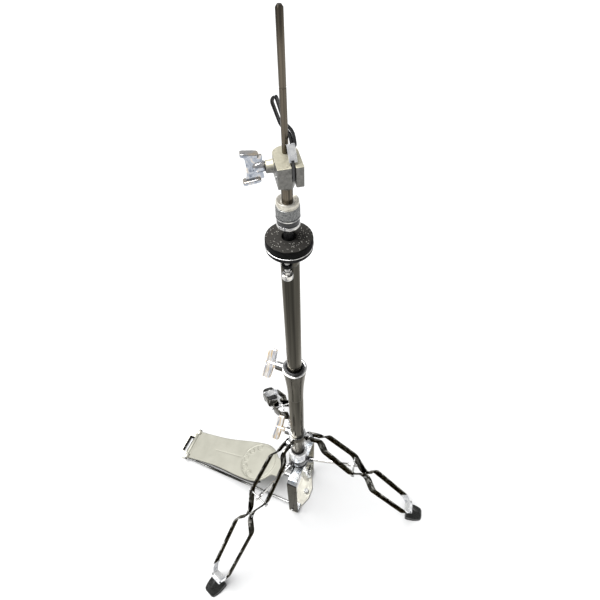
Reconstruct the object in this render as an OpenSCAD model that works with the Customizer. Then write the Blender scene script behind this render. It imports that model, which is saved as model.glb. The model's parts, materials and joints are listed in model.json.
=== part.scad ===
// Hi-hat stand: pedal, pull rod, telescoping tubes, folding tripod, cymbal seat and drop clutch.
// Origin on the floor under the tube axis, +Z up, heel of the pedal towards -Y.

/* [Tubes and rod] */
// Height of the tip of the pull rod above the floor
total_h = 1045; // [1035:1:1080]
// Outside diameter of the lower tube
low_tube_d = 25.4; // [25:0.1:25.6]
// Outside diameter of the upper tube
up_tube_d = 22.2; // [22:0.1:22.3]
// Diameter of the upper pull rod
rod_d = 6.35; // [6:0.05:6.4]
// Height of the top rim of the height clamp
clamp_top_z = 559; // [550:1:580]

/* [Seat and clutch] */
// Diameter of the seat felt
felt_d = 53; // [50:0.5:56]
// Height of the top of the seat felt
felt_top_z = 825; // [820:1:830]
// Gap between the seat felt and the parked clutch
clutch_gap = 15; // [12:0.5:20]
// Direction in which the slotted end of the clutch block points
clutch_dir = 34; // [0:1:60]
// Direction of the tilt screw, seen from above
tilt_dir = 14; // [0:1:40]

/* [Tripod] */
// Radius of the circle on which the feet stand
foot_r = 272; // [260:1:285]
// Direction of the first leg
leg_dir = -20; // [-30:1:-15]
// Height of the leg pivots
leg_pivot_z = 318; // [312:1:324]
// Height of a leg strip
strip_h = 13.5; // [12:0.5:15]
// Thickness of a leg strip
strip_t = 3; // [2.5:0.1:3.2]

/* [Frame and pedal] */
// Height of the frame strap
frame_h = 190; // [188:1:191]
// Distance between the insides of the frame uprights
frame_in_w = 100; // [96:1:104]
// Width of the frame strap
strap_w = 21; // [18:1:24]
// Distance from the tube axis back to the heel hinge
heel_y = 294; // [288:1:300]
// Height of the heel hinge
heel_z = 15; // [14:0.5:18]
// Slope of the footboard at rest
board_slope = 18.1; // [17:0.1:19]
// Length of the footboard from the heel hinge
board_len = 262; // [258:1:266]
// Greatest width of the footboard
board_w = 94; // [90:1:96]

/* [Hidden] */
$fn = 64;
fit = 0.05;           // radial clearance of a running fit
free = 0.3;           // clearance between parts that only pass each other
rod_r = rod_d / 2;
rod_bore_r = rod_r + 0.425;
pull_r = 4;           // lower pull rod
low_r = low_tube_d / 2;
up_r = up_tube_d / 2;
leg_dirs = [leg_dir, leg_dir + 120, leg_dir + 240];

// Frame and hub
strap_t = 3.2;
strap_y0 = -5;
plate_t = 4;
frame_out = frame_in_w / 2 + strap_t;
spindle_r = 15 - fit;
cup_z0 = 217;
cup_h = 34;
cup_r = 18.6;
tube_z0 = cup_z0 + 5;
ring_z0 = frame_h + 4;
ring_pin_r = 25.7;
ring_pin_z = frame_h + 14;

// Clamp at the top of the lower tube
bell_z0 = 470;
bush_z0 = 520;
bush_r = 15;
clamp_r = 18.3;
height_bolt_z = clamp_top_z - 11;

// Upper stage
up_tube_z0 = 400;
up_tube_z1 = felt_top_z - 39;
sleeve_r = 5.8;
seat_z0 = felt_top_z - 19;
tilt_screw_r = 18.4;

// Clutch, measured up from the underside of its lower flange
clutch_z = felt_top_z + clutch_gap;
shaft_r = 5.9;
block_z0 = clutch_z + 65;
block_h = 21;
block_w = 24.5;
slot_w = 3.6;
slot_off = 2.8;
lever_pin_x = 18;
lever_pin_z = block_z0 + 8;

// Tripod geometry in the plane of one leg: r outwards, z up
leg_pivot_r = 24;
bend_r = 42;
foot_end_z = 15;
leg_fall = atan((leg_pivot_z - foot_end_z) / (foot_r - bend_r));
brace_pin_leg_r = 116;
brace_pin_leg_z = leg_pivot_z - (brace_pin_leg_r - bend_r) * tan(leg_fall);
brace_rise = atan2(brace_pin_leg_z - ring_pin_z, brace_pin_leg_r - ring_pin_r);
brace_len = norm([brace_pin_leg_r - ring_pin_r, brace_pin_leg_z - ring_pin_z]);
pinch_r = 143;
lug_t = 7;
rail_t0 = lug_t / 2 + free + strip_t / 2;

// Pedal linkage
toe_y = -18;
toe_z = 92;
clevis_z = 140;
link_len = norm([toe_y, clevis_z - toe_z]);
link_lean = atan2(-toe_y, clevis_z - toe_z);
toe_s = (toe_y + heel_y) * cos(board_slope) + (toe_z - heel_z) * sin(board_slope);
toe_n = (toe_z - heel_z) * cos(board_slope) - (toe_y + heel_y) * sin(board_slope);
board_t = 4;
board_top = 3;
ring_s = 201;

// ---------- shared shapes ----------

// A round tube or washer from z0 to z1
module ring(r_out, r_in, z0, z1) {
    translate([0, 0, z0]) difference() {
        cylinder(r = r_out, h = z1 - z0);
        translate([0, 0, -1]) cylinder(r = r_in, h = z1 - z0 + 2);
    }
}

// A round bar between two points
module bar(p, q, r) {
    d = q - p;
    translate(p) rotate([0, acos(d[2] / norm(d)), atan2(d[1], d[0])]) cylinder(r = r, h = norm(d));
}

// A wire that follows points, with round bends
module wire(points, r) {
    for (i = [1 : len(points) - 1]) bar(points[i - 1], points[i], r);
    for (i = [1 : len(points) - 2]) translate(points[i]) sphere(r = r + 0.15);
}

// Direction from one point to the next, and the left normal of a direction
function heading(a, b) = (b - a) / norm(b - a);
function left(d) = [-d[1], d[0]];

// Point i of a line, moved sideways by w with a mitred corner
function edge_point(points, i, w) = let (last = len(points) - 1,
    n0 = left(heading(points[max(i - 1, 0)], points[max(i, 1)])),
    n1 = left(heading(points[min(i, last - 1)], points[min(i + 1, last)])),
    m = (n0 + n1) / norm(n0 + n1)) points[i] + m * w / (m * n0);

// A flat strip seen on edge: its centre line follows points
module strip(points, width) {
    last = len(points) - 1;
    polygon(concat([for (i = [0 : last]) edge_point(points, i, width / 2)],
        [for (i = [last : -1 : 0]) edge_point(points, i, -width / 2)]));
}

// A cylinder along X, centred on x
module x_pin(r, len, x = 0) {
    translate([x - len / 2, 0, 0]) rotate([0, 90, 0]) cylinder(r = r, h = len);
}

// A cylinder along Y, centred
module y_pin(r, len) {
    rotate([90, 0, 0]) cylinder(r = r, h = len, center = true);
}

// Wing bolt that lies along +X from its tip at x = tip to its wings
module wing_bolt(tip, wing_x, shank_r, span, turn, wing_l = 17, web_t = 3.6) {
    rotate([turn, 0, 0]) {
        x_pin(shank_r, wing_x - tip + 2, (wing_x + tip + 2) / 2);
        x_pin(5.2, 8, wing_x + 1);
        translate([wing_x, -web_t / 2, -span / 2 + 3]) cube([wing_l, web_t, span - 6]);
        for (side = [-1, 1]) translate([wing_x, 0, side * (span / 2 - 1.6)]) {
            translate([0, -3.4, -1.6]) cube([wing_l, 6.8, 3.2]);
            for (y = [-3.4, 3.4]) translate([0, y, 0]) rotate([0, 90, 0])
                cylinder(r = 1.6, h = wing_l);
        }
    }
}

// ---------- frame and hub ----------

module base_plate() {
    color("#cfcabb") difference() {
        linear_extrude(plate_t) polygon([[-frame_out, strap_y0 - 1], [frame_out, strap_y0 - 1],
            [frame_out, 11], [12, 28], [-12, 28], [-frame_out, 11]]);
        translate([0, 17, -1]) cylinder(r = 3 + fit, h = plate_t + 2);
        for (x = [-41, 41], y = [0, 11]) translate([x, y, -1]) cylinder(r = 2, h = plate_t + 2);
    }
}

// Outline of the inverted U, with round upper corners
module strap_outline(half_w, h, r) {
    translate([-half_w, 0]) square([2 * half_w, h - r]);
    translate([-half_w + r, 0]) square([2 * (half_w - r), h]);
    for (side = [-1, 1]) translate([side * (half_w - r), h - r]) circle(r = r);
}

module frame_strap() {
    color("#5b5c60") difference() {
        translate([0, strap_y0 + strap_w, plate_t]) rotate([90, 0, 0]) linear_extrude(strap_w) {
            difference() {
                strap_outline(frame_out, frame_h - plate_t, 13);
                translate([0, -1]) strap_outline(frame_out - strap_t, frame_h - plate_t - strap_t + 1, 9.8);
            }
            for (x = [-frame_out, frame_out - 21]) translate([x, 0]) square([21, strap_t]);
        }
        translate([0, 0, frame_h - 10]) cylinder(r = 9, h = 20);
        translate([0, 3, rod_end_z]) x_pin(rod_end_r, 2 * frame_out + 2);
        for (x = [-41, 41], y = [0, 11]) translate([x, y, 0]) cylinder(r = 2, h = 20);
    }
}

module frame_rivets() {
    color("#d8d8d8") for (x = [-41, 41], y = [0, 11]) translate([x, y, 0.5]) {
        cylinder(r = 2, h = plate_t + strap_t - 0.5);
        translate([0, 0, plate_t + strap_t - 0.5]) cylinder(r1 = 3.6, r2 = 2.4, h = 1.8);
    }
}

module hub_spindle() {
    color("#3c3c3f") rotate_extrude() polygon([[4.6, 172], [9, 172], [9, frame_h], [20, frame_h],
        [20, ring_z0 - free], [spindle_r, ring_z0 - free], [spindle_r, cup_z0], [4.6, cup_z0]]);
}

module hub_nut() {
    nut_h = 11;
    color("#9a9a9c") difference() {
        translate([0, 0, frame_h - strap_t - nut_h]) cylinder(r = 14, h = nut_h, $fn = 6);
        translate([0, 0, 160]) cylinder(r = 9, h = 40);
    }
}

module socket_cup() {
    color("#dadbdd") rotate_extrude() polygon([[4.6, cup_z0], [cup_r - 1.5, cup_z0],
        [cup_r, cup_z0 + 1.5], [cup_r, cup_z0 + cup_h - 1.5], [cup_r - 1.2, cup_z0 + cup_h],
        [low_r + 1, cup_z0 + cup_h], [low_r, cup_z0 + cup_h - 1], [low_r, tube_z0], [4.6, tube_z0]]);
}

module lower_tube() {
    color("#4a4b4e") ring(low_r, low_r - 1.25, tube_z0, bush_z0);
}

// Bell that flares from the tube to the clamp rim
function bell_r(k) = low_r + 0.3 + (clamp_r - low_r - 0.3) * (1 - cos(90 * k)) * 0.45
    + (clamp_r - low_r - 0.3) * k * k * 0.55;

module clamp_collar() {
    rim = 7;
    bell_top = clamp_top_z - rim;
    color("#4a4b4e") difference() {
        union() {
            rotate_extrude() polygon(concat(
                [for (i = [0 : 10]) [bell_r(i / 10), bell_z0 + (bell_top - bell_z0) * i / 10]],
                [[clamp_r, clamp_top_z - 1], [clamp_r - 1, clamp_top_z], [bush_r, clamp_top_z],
                 [bush_r, bush_z0], [low_r, bush_z0], [low_r, bell_z0]]));
            difference() {
                translate([0, -23, height_bolt_z]) y_pin(7, 14);
                translate([0, 0, bush_z0 - 1]) cylinder(r = bush_r + 0.5, h = 50);
            }
        }
        translate([0, -22, height_bolt_z]) y_pin(4 + fit, 20);
    }
}

module tube_bushing() {
    color("#1c1c1e") rotate_extrude() polygon([[up_r + fit, bush_z0], [bush_r, bush_z0],
        [bush_r, clamp_top_z + 0.6], [bush_r - 1, clamp_top_z + 1.6],
        [up_r + fit, clamp_top_z + 1.6]]);
}

module spring_seat() {
    color("#b0b0b0") ring(low_r - 1.3, 4.6, tube_z0, tube_z0 + 4);
}

// ---------- return spring ----------

spring_r = 7.2;
spring_wire_r = 0.9;
spring_z0 = tube_z0 + 4;
spring_h = 104;
spring_turns = 11;
spring_steps = 14;
spring_sides = 6;

// Points round one cross-section of the spring wire
function spring_section(i) = let (a = 360 * i / spring_steps,
    z = spring_z0 + spring_wire_r + (spring_h - 2 * spring_wire_r) * i / (spring_turns * spring_steps))
    [for (j = [0 : spring_sides - 1]) let (b = 360 * j / spring_sides,
        r = spring_r + spring_wire_r * cos(b))
        [r * cos(a), r * sin(a), z + spring_wire_r * sin(b)]];

module return_spring() {
    n = spring_turns * spring_steps;
    s = spring_sides;
    color("#a8a8a8") polyhedron(
        points = [for (i = [0 : n]) each spring_section(i)],
        faces = concat([[for (j = [0 : s - 1]) j]], [[for (j = [s - 1 : -1 : 0]) n * s + j]],
            [for (i = [0 : n - 1], j = [0 : s - 1]) let (k = (j + 1) % s)
                [i * s + j, (i + 1) * s + j, (i + 1) * s + k, i * s + k]]));
}

// ---------- heel plate and radius rods ----------

rod_wire_r = 2.6;
rod_end_r = 2.75;     // bent end, in the hole of the frame
rod_end_z = 13;

// The straight length of one radius rod, from the heel plate to the frame
module rod_length(side) {
    bar([side * 33, -heel_y - 14, 5.4], [side * 41, 3, rod_end_z], rod_wire_r);
}

module radius_rods() {
    color("#c9c9cb") for (side = [-1, 1]) {
        rod_length(side);
        translate([0, 3, rod_end_z]) x_pin(rod_end_r, frame_out + 3 - 38, side * (frame_out + 3 + 38) / 2);
    }
}

module heel_plate() {
    half_w = 38;
    front = -heel_y - 5;
    back = -heel_y - 29;
    cut = 13;
    eye_w = 10.5;
    eye_x = half_w - eye_w / 2;
    color("#e4e0cf") difference() {
        union() {
            linear_extrude(5) polygon([[-half_w, front], [-half_w, back + cut], [-half_w + 7, back],
                [half_w - 7, back], [half_w, back + cut], [half_w, front]]);
            for (side = [-1, 1]) {
                translate([side * eye_x - eye_w / 2, back + cut, 0]) cube([eye_w, front - back - cut, 10]);
                translate([side * eye_x - eye_w / 2, -heel_y - 9, 9]) cube([eye_w, 9, 6]);
                translate([0, -heel_y, heel_z]) x_pin(6, eye_w, side * eye_x);
            }
        }
        translate([0, -heel_y, heel_z]) x_pin(2.5, 2 * half_w + 2);
        for (side = [-1, 1]) rod_length(side);
        // Window in the middle of the plate
        translate([-21, back + 8, -1]) cube([42, 12, 7]);
    }
}

module heel_pin() {
    color("#2a2a2c") translate([0, -heel_y, heel_z]) {
        x_pin(2.5, 79);
        for (side = [-1, 1]) x_pin(4, 2, side * 39.5);
    }
}

module spur_screw() {
    color("#d9d9d9") translate([0, 17, 0]) {
        translate([0, 0, 1.5]) cylinder(r = 3, h = 6);
        cylinder(r1 = 0.6, r2 = 3, h = 1.5);
        translate([0, 0, plate_t + 1.5]) cylinder(r = 5.5, h = 6);
    }
}

// ---------- footboard ----------

// Half the width of the footboard at distance s from the heel hinge
flare_len = 130;
heel_half_w = 36;
toe_half_w = 20;
// The round end about the ring, and where it runs into the straight toe
function round_end(d) = sqrt(max(pow(board_w / 2, 2) - d * d, 36));
function board_half(s) = s < ring_s
    ? heel_half_w + (board_w / 2 - heel_half_w)
        * (0.5 - 0.5 * cos(180 * max(s - ring_s + flare_len, 0) / flare_len))
    : let (d = s - ring_s, gap = round_end(d) - toe_half_w)
        toe_half_w + (gap + sqrt(gap * gap + 0.04 * d * d)) / 2;

function board_side(s0, s1, inset, n) =
    [for (i = [0 : n]) let (s = s0 + (s1 - s0) * i / n) [board_half(s) - inset, s]];

function mirror_x(points) = [for (i = [len(points) - 1 : -1 : 0]) [-points[i][0], points[i][1]]];

// Places children in the footboard's own frame: Y along the board, Z out of its top
module on_board() {
    translate([0, -heel_y, heel_z]) rotate([board_slope, 0, 0]) children();
}

// Places of the rivets that hold the toe bracket
rivet_s = [board_len - 29, board_len - 11];

module footboard() {
    knuckle_w = 54;
    skirt_h = 9;
    edge = board_side(8, board_len, 0, 44);
    outer = board_side(55, board_len - 3, 0.2, 40);
    inner = board_side(55, board_len - 3, 3.2, 40);
    color("#cdcbbc") on_board() difference() {
        union() {
            translate([0, 0, board_top - board_t]) linear_extrude(board_t)
                polygon(concat(edge, mirror_x(edge)));
            translate([-knuckle_w / 2, 0, board_top - board_t]) cube([knuckle_w, 10, board_t]);
            x_pin(5.5, knuckle_w);
            // Side flanges under both edges
            translate([0, 0, board_top - board_t - skirt_h]) linear_extrude(skirt_h + 0.5) {
                polygon(concat(outer, [for (i = [len(inner) - 1 : -1 : 0]) inner[i]]));
                mirror([1, 0]) polygon(concat(outer, [for (i = [len(inner) - 1 : -1 : 0]) inner[i]]));
            }
            // Raised ring for the ball of the foot
            translate([0, ring_s, 0]) ring(44.5, 41.9, board_top - 1, board_top + 1.1);
        }
        x_pin(2.5 + fit, knuckle_w + 2);
        // Dimples inside the ring, on its heel half
        for (a = [-72 : 36 : 72]) translate([35 * sin(a), ring_s - 35 * cos(a), board_top - 1])
            cylinder(r = 5.5, h = 5);
        // Centre groove behind the ring
        translate([-2, ring_s - 125, board_top - 1]) cube([4, 75, 5]);
        for (s = [ring_s - 125, ring_s - 50]) translate([0, s, board_top - 1]) cylinder(r = 2, h = 5);
        for (s = rivet_s, x = [-7.1, 7.1]) translate([x, s, -20]) cylinder(r = 2, h = 40);
    }
}

module toe_bracket() {
    color("#6f7074") on_board() difference() {
        union() {
            for (side = [-1, 1]) translate([side * 7.1 - 1.5, 0, 0]) rotate([90, 0, 90])
                linear_extrude(3) {
                    polygon([[board_len - 37, board_top - board_t], [board_len + 3, board_top - board_t],
                        [toe_s + 2, toe_n + 7.2], [toe_s, toe_n - 7.5], [board_len - 37, -8]]);
                    translate([toe_s, toe_n]) circle(r = 7.5);
                }
            translate([-10, board_len - 37, board_top - board_t - 3]) cube([20, 36, 3]);
        }
        translate([0, toe_s, toe_n]) x_pin(2.5, 40);
        for (s = rivet_s, x = [-7.1, 7.1]) translate([x, s, -6]) cylinder(r = 2, h = 12);
    }
}

module toe_pin() {
    color("#d8d8d8") on_board() translate([0, toe_s, toe_n]) {
        x_pin(2.5, 21);
        for (side = [-1, 1]) x_pin(4.2, 1.8, side * 9.6);
    }
}

module board_rivets() {
    color("#b9b7aa") on_board() for (s = rivet_s, x = [-7.1, 7.1]) translate([x, s, 0])
        translate([0, 0, -5]) cylinder(r = 2, h = 5 + board_top);
}

// ---------- link and pull rod ----------

module pull_link() {
    eye_gap = 1.2;
    color("#8c8c90") translate([0, 0, clevis_z]) rotate([link_lean, 0, 0]) mirror([0, 0, 1])
        difference() {
            union() {
                x_pin(6.5, 5);
                translate([0, 0, link_len]) x_pin(7, 5);
                translate([-2.5, -5, 0]) cube([5, 10, link_len]);
            }
            x_pin(2.5 + fit, 20);
            translate([0, 0, link_len]) x_pin(2.5 + eye_gap, 20);
        }
}

module rod_clevis() {
    color("#a4a4a8") difference() {
        union() {
            for (side = [-1, 1]) translate([0, 0, clevis_z]) {
                x_pin(7.5, 3.2, side * 4.9);
                translate([side * 4.9 - 1.6, -7.5, 0]) cube([3.2, 15, 14]);
            }
            translate([-6.5, -7.5, clevis_z + 9]) cube([13, 15, 11]);
        }
        translate([0, 0, clevis_z]) x_pin(2.5, 40);
        translate([0, 0, clevis_z + 8]) cylinder(r = pull_r, h = 30);
    }
}

module clevis_pin() {
    color("#d8d8d8") translate([0, 0, clevis_z]) {
        x_pin(2.5, 16.5);
        for (side = [-1, 1]) x_pin(4, 1.5, side * 7.5);
    }
}

module lower_rod() {
    color("#b8b8bb") translate([0, 0, clevis_z + 9.5]) cylinder(r = pull_r, h = 640 - clevis_z - 9.5);
}

module rod_coupler() {
    color("#77777a") difference() {
        translate([0, 0, 626]) cylinder(r = 7, h = 34, $fn = 6);
        translate([0, 0, 620]) cylinder(r = pull_r, h = 20);
        translate([0, 0, 639]) cylinder(r = rod_r, h = 30);
    }
}

module upper_rod() {
    mark_z = 985;
    color("#8f8478") rotate_extrude() polygon([[0, 641], [rod_r, 641], [rod_r, mark_z],
        [rod_r - 0.3, mark_z + 0.3], [rod_r - 0.3, mark_z + 0.9], [rod_r, mark_z + 1.2],
        [rod_r, total_h - 2], [rod_r - 1.4, total_h], [0, total_h]]);
}

module spring_stop() {
    stop_z = spring_z0 + spring_h;
    color("#77777a") ring(10.6, pull_r, stop_z, stop_z + 9);
}

// ---------- upper stage ----------

module upper_tube() {
    color("#55565a") ring(up_r, up_r - 1.4, up_tube_z0, up_tube_z1);
}

module tilter_hub() {
    ridge_r = 3 - free;
    color("#1f1f21") difference() {
        union() {
            translate([0, 0, up_tube_z1 - 16]) cylinder(r = up_r - 1.4, h = 16);
            translate([0, 0, up_tube_z1]) cylinder(r = up_r, h = 14);
            translate([0, 0, up_tube_z1 + 14]) cylinder(r1 = up_r, r2 = 7, h = 3);
            rotate(tilt_dir) {
                translate([0, -5.5, up_tube_z1 + 8]) cube([tilt_screw_r, 11, 7]);
                translate([tilt_screw_r, 0, up_tube_z1 + 8]) cylinder(r = 5.5, h = 7);
                // Rocker ridge that carries the seat cup
                translate([-ridge_r, -15, up_tube_z1 + 5]) cube([2 * ridge_r, 30, seat_z0 - up_tube_z1 - 5]);
                translate([0, 0, seat_z0]) y_pin(ridge_r, 30);
            }
        }
        translate([0, 0, up_tube_z1 - 20]) cylinder(r = rod_bore_r, h = 50);
        translate([0, 0, up_tube_z1 + 4]) cylinder(r = sleeve_r, h = 40);
        rotate(tilt_dir) translate([tilt_screw_r, 0, up_tube_z1 - 10]) cylinder(r = 3 + fit, h = 30);
    }
}

module seat_sleeve() {
    color("#141415") ring(sleeve_r, rod_bore_r, up_tube_z1 + 4, clutch_z);
}

module tilter_screw() {
    knob_r = 6.5;
    color("#d4d5d6") rotate(tilt_dir) translate([tilt_screw_r, 0, 0]) {
        translate([0, 0, up_tube_z1 - 8]) difference() {
            cylinder(r = knob_r, h = 8);
            for (a = [0 : 20 : 340]) rotate(a) translate([knob_r + 0.5, 0, -1]) cylinder(r = 1, h = 10);
        }
        translate([0, 0, up_tube_z1 - 1]) cylinder(r = 3, h = seat_z0 + 2.5 - up_tube_z1 + 1);
        translate([0, 0, up_tube_z1 - 0.5]) cylinder(r = 4.6, h = 4, $fn = 6);
    }
}

module seat_cup() {
    hole_r = 8.3;
    top = felt_top_z - 10;
    color("#1b1b1c") rotate_extrude() polygon([[hole_r, seat_z0 + 3], [18, seat_z0 + 3],
        [25.2, top - 3], [25.2, top], [23.6, top], [23.6, top - 2], [17.5, seat_z0 + 5],
        [hole_r, seat_z0 + 5]]);
}

module seat_felt() {
    hole_r = 8.3;
    top = felt_top_z - 10;
    color("#3b3b3c") rotate_extrude() polygon([[hole_r, seat_z0 + 5.2], [17.4, seat_z0 + 5.2],
        [23.4, top - 1.8], [23.4, top], [felt_d / 2, top], [felt_d / 2, felt_top_z - 1],
        [felt_d / 2 - 1, felt_top_z], [hole_r, felt_top_z]]);
}

// ---------- clutch ----------

module clutch_shaft() {
    color("#cfc6b4") ring(shaft_r, rod_bore_r, clutch_z + 1.5, block_z0 - 2);
}

module lower_flange() {
    color("#b9bbc2") rotate_extrude() polygon([[rod_bore_r, clutch_z], [11.8, clutch_z],
        [12.6, clutch_z + 1], [12.6, clutch_z + 5.5], [shaft_r, clutch_z + 5.5],
        [shaft_r, clutch_z + 1.5], [rod_bore_r, clutch_z + 1.5]]);
}

module clutch_felt() {
    color("#222224") ring(12.2, shaft_r, clutch_z + 5.5, clutch_z + 12.3);
}

module clutch_washer() {
    color("#f0f0f0") ring(13, shaft_r, clutch_z + 12.3, clutch_z + 14);
}

module knurled_nut() {
    color("#7b7f84") translate([0, 0, clutch_z + 14]) difference() {
        cylinder(r = 12.85, h = 13);
        translate([0, 0, -1]) cylinder(r = shaft_r, h = 15);
        for (a = [0 : 15 : 345]) rotate(a) translate([13.4, 0, -1]) cylinder(r = 0.9, h = 15, $fn = 16);
    }
}

module bevel_nut() {
    z0 = clutch_z + 27;
    color("#e6e0d0") rotate_extrude() polygon([[shaft_r, z0], [11.7, z0], [12.1, z0 + 1],
        [11.9, z0 + 5.5], [11.2, z0 + 6.5], [10.6, z0 + 6.5], [7.4, z0 + 3.6], [shaft_r, z0 + 3.6]]);
}

module clutch_block() {
    color("#c9c4ae") rotate(clutch_dir) difference() {
        union() {
            translate([-1, -block_w / 2, block_z0]) cube([27, block_w, block_h]);
            translate([0, 0, block_z0]) cylinder(r = block_w / 2, h = block_h);
            translate([0, 0, block_z0 - 16]) cylinder(r1 = 7.2, r2 = 10, h = 9);
            translate([0, 0, block_z0 - 7]) cylinder(r = 10, h = 7.5);
            translate([2, -15.5, block_z0 + 10]) y_pin(6, 9);
        }
        translate([0, 0, block_z0 - 20]) cylinder(r = shaft_r + fit, h = 19);
        translate([0, 0, block_z0 - 5]) cylinder(r = rod_bore_r, h = 60);
        translate([6, slot_off - slot_w / 2, block_z0 - 1]) cube([40, slot_w, block_h + 2]);
        translate([lever_pin_x, 0, lever_pin_z]) y_pin(1.6, 60);
        translate([0, -20, block_z0 + 10]) y_pin(3 + fit, 20.1);
    }
}

module lever_pin() {
    color("#8a8a8c") rotate(clutch_dir) translate([lever_pin_x, 0, lever_pin_z]) y_pin(1.6, block_w + 1);
}

// Hook plate in the slot, with the wire loop that stands up behind the rod
module release_lever() {
    plate_t2 = slot_w - 0.8;
    hook_w0 = 4;
    tab_z = block_z0 + 30.5;
    loop_z0 = block_z0 + 35;
    loop_z1 = block_z0 + 67;
    color("#dfdfe0") rotate(clutch_dir) {
        difference() {
            translate([0, slot_off + plate_t2 / 2, 0]) rotate([90, 0, 0]) linear_extrude(plate_t2) {
                translate([lever_pin_x, lever_pin_z]) circle(r = 5.5);
                polygon([[lever_pin_x - 3, lever_pin_z - 2], [lever_pin_x + 3.5, lever_pin_z - 1],
                    [lever_pin_x + 3, block_z0 + 25], [lever_pin_x - 5, block_z0 + 27],
                    [lever_pin_x - 6, block_z0 + 22]]);
            }
            translate([lever_pin_x, 0, lever_pin_z]) y_pin(1.6 + fit, 60);
        }
        // Upper half of the plate, set sideways so that it passes the rod
        translate([0, hook_w0 + plate_t2, 0]) rotate([90, 0, 0]) linear_extrude(plate_t2)
            polygon([[lever_pin_x - 5.4, block_z0 + 24.2], [lever_pin_x + 3, block_z0 + 22.4],
                [lever_pin_x, block_z0 + 27], [11.6, block_z0 + 34], [6.8, block_z0 + 33.5],
                [7.4, block_z0 + 27.5]]);
        translate([lever_pin_x - 4.6, slot_off - plate_t2 / 2 + 0.2, block_z0 + 23.6]) cube([6, 4, 1.8]);
        translate([7.2, hook_w0 + 0.3, tab_z - 2]) cube([4, 6.9, 4]);
        wire([[9, 6.1, tab_z], [-8, 4.2, loop_z0], [-10, -8, loop_z1], [-10, -3, loop_z1 + 2],
            [-8, 9.6, loop_z0 + 1], [9, 9.2, tab_z]], 1.3);
    }
}

module clutch_wing_bolt() {
    color("#c7c8cc") rotate(clutch_dir - 90) translate([0, 0, block_z0 + 10])
        wing_bolt(10.6, 23, 3, 29, 10);
}

module height_wing_bolt() {
    color("#c7c8cc") rotate(-90) translate([0, 0, height_bolt_z]) wing_bolt(15.3, 34, 4, 47, 50, 14, 7);
}

module leg_wing_bolt() {
    color("#c7c8cc") rotate(-90) translate([0, 0, leg_pivot_z]) wing_bolt(13.2, 32, 4, 47, 50, 14, 7);
}

// ---------- tripod ----------

module tripod_ring() {
    ear_t = 2.6;
    color("#2c2c2e") difference() {
        union() {
            translate([0, 0, ring_z0]) cylinder(r = 19, h = cup_z0 - free - ring_z0);
            for (a = leg_dirs) rotate(a) for (side = [-1, 1])
                translate([0, side * (1.7 + ear_t / 2), ring_pin_z]) {
                    translate([ring_pin_r, 0, 0]) y_pin(6, ear_t);
                    translate([15, -ear_t / 2, -6]) cube([ring_pin_r - 15, ear_t, 12]);
                }
        }
        translate([0, 0, ring_z0 - 1]) cylinder(r = spindle_r + fit, h = 50);
        for (a = leg_dirs) rotate(a) translate([ring_pin_r, 0, ring_pin_z]) y_pin(2, 30);
    }
}

module ring_pins() {
    color("#d0d0d0") for (a = leg_dirs) rotate(a) translate([ring_pin_r, 0, ring_pin_z]) {
        y_pin(2, 10.6);
        for (side = [-1, 1]) translate([0, side * 4.95, 0]) y_pin(3.2, 1.3);
    }
}

module leg_collar() {
    collar_h = 20;
    lug_half = 8;
    color("#dcdcde") difference() {
        union() {
            translate([0, 0, leg_pivot_z - collar_h / 2]) cylinder(r = 15.9, h = collar_h);
            for (a = leg_dirs) rotate(a) {
                translate([leg_pivot_r, 0, leg_pivot_z]) y_pin(lug_half, lug_t);
                translate([12, -lug_t / 2, leg_pivot_z - lug_half])
                    cube([leg_pivot_r - 12, lug_t, 2 * lug_half]);
            }
            translate([0, -19, leg_pivot_z]) y_pin(7, 10);
        }
        translate([0, 0, leg_pivot_z - 50]) cylinder(r = low_r + fit, h = 100);
        translate([0, -20, leg_pivot_z]) y_pin(4 + fit, 20);
        for (a = leg_dirs) rotate(a) translate([leg_pivot_r, 0, leg_pivot_z]) y_pin(2.5 + fit, 30);
    }
}

// Distance along the sloping part of a leg for radius r
function along(r) = (r - bend_r) / cos(leg_fall);

// Centre line of one rail, seen at right angles to the slope
rail_path = [[1, rail_t0], [5, rail_t0], [along(56), 16], [along(114), 19.5], [along(137), 3.8],
    [along(148), 3.8], [along(163), 21.5], [along(246), 19], [along(257), 11]];

// Places children on the slope of a leg: X down the leg, Z out of its top edge
module on_slope() {
    translate([bend_r, 0, leg_pivot_z]) rotate([0, leg_fall, 0]) children();
}

module leg_body() {
    eye_t = strip_t - 0.2;
    difference() {
        union() {
            for (side = [0, 1]) mirror([0, side, 0]) {
                on_slope() translate([0, 0, -strip_h / 2]) linear_extrude(strip_h)
                    strip(rail_path, strip_t);
                // Level end of the rail, with the eye for the pivot pin
                translate([0, rail_t0 + eye_t / 2, 0]) rotate([90, 0, 0]) linear_extrude(eye_t) {
                    translate([leg_pivot_r, leg_pivot_z]) circle(r = strip_h / 2 + 1.2);
                    strip([[leg_pivot_r, leg_pivot_z], [bend_r, leg_pivot_z],
                        [bend_r + 4 * cos(leg_fall), leg_pivot_z - 4 * sin(leg_fall)]], strip_h + 0.6);
                }
            }
            // Tip that joins the rails above the foot
            on_slope() translate([along(254), -11, 0.5 - strip_h / 2]) cube([9, 22, strip_h - 1]);
        }
        translate([leg_pivot_r, 0, leg_pivot_z]) y_pin(2.5, 40);
        translate([brace_pin_leg_r, 0, brace_pin_leg_z]) y_pin(1.75, 60);
        on_slope() translate([along(pinch_r), 0, 0]) y_pin(2.2, 40);
    }
}

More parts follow.
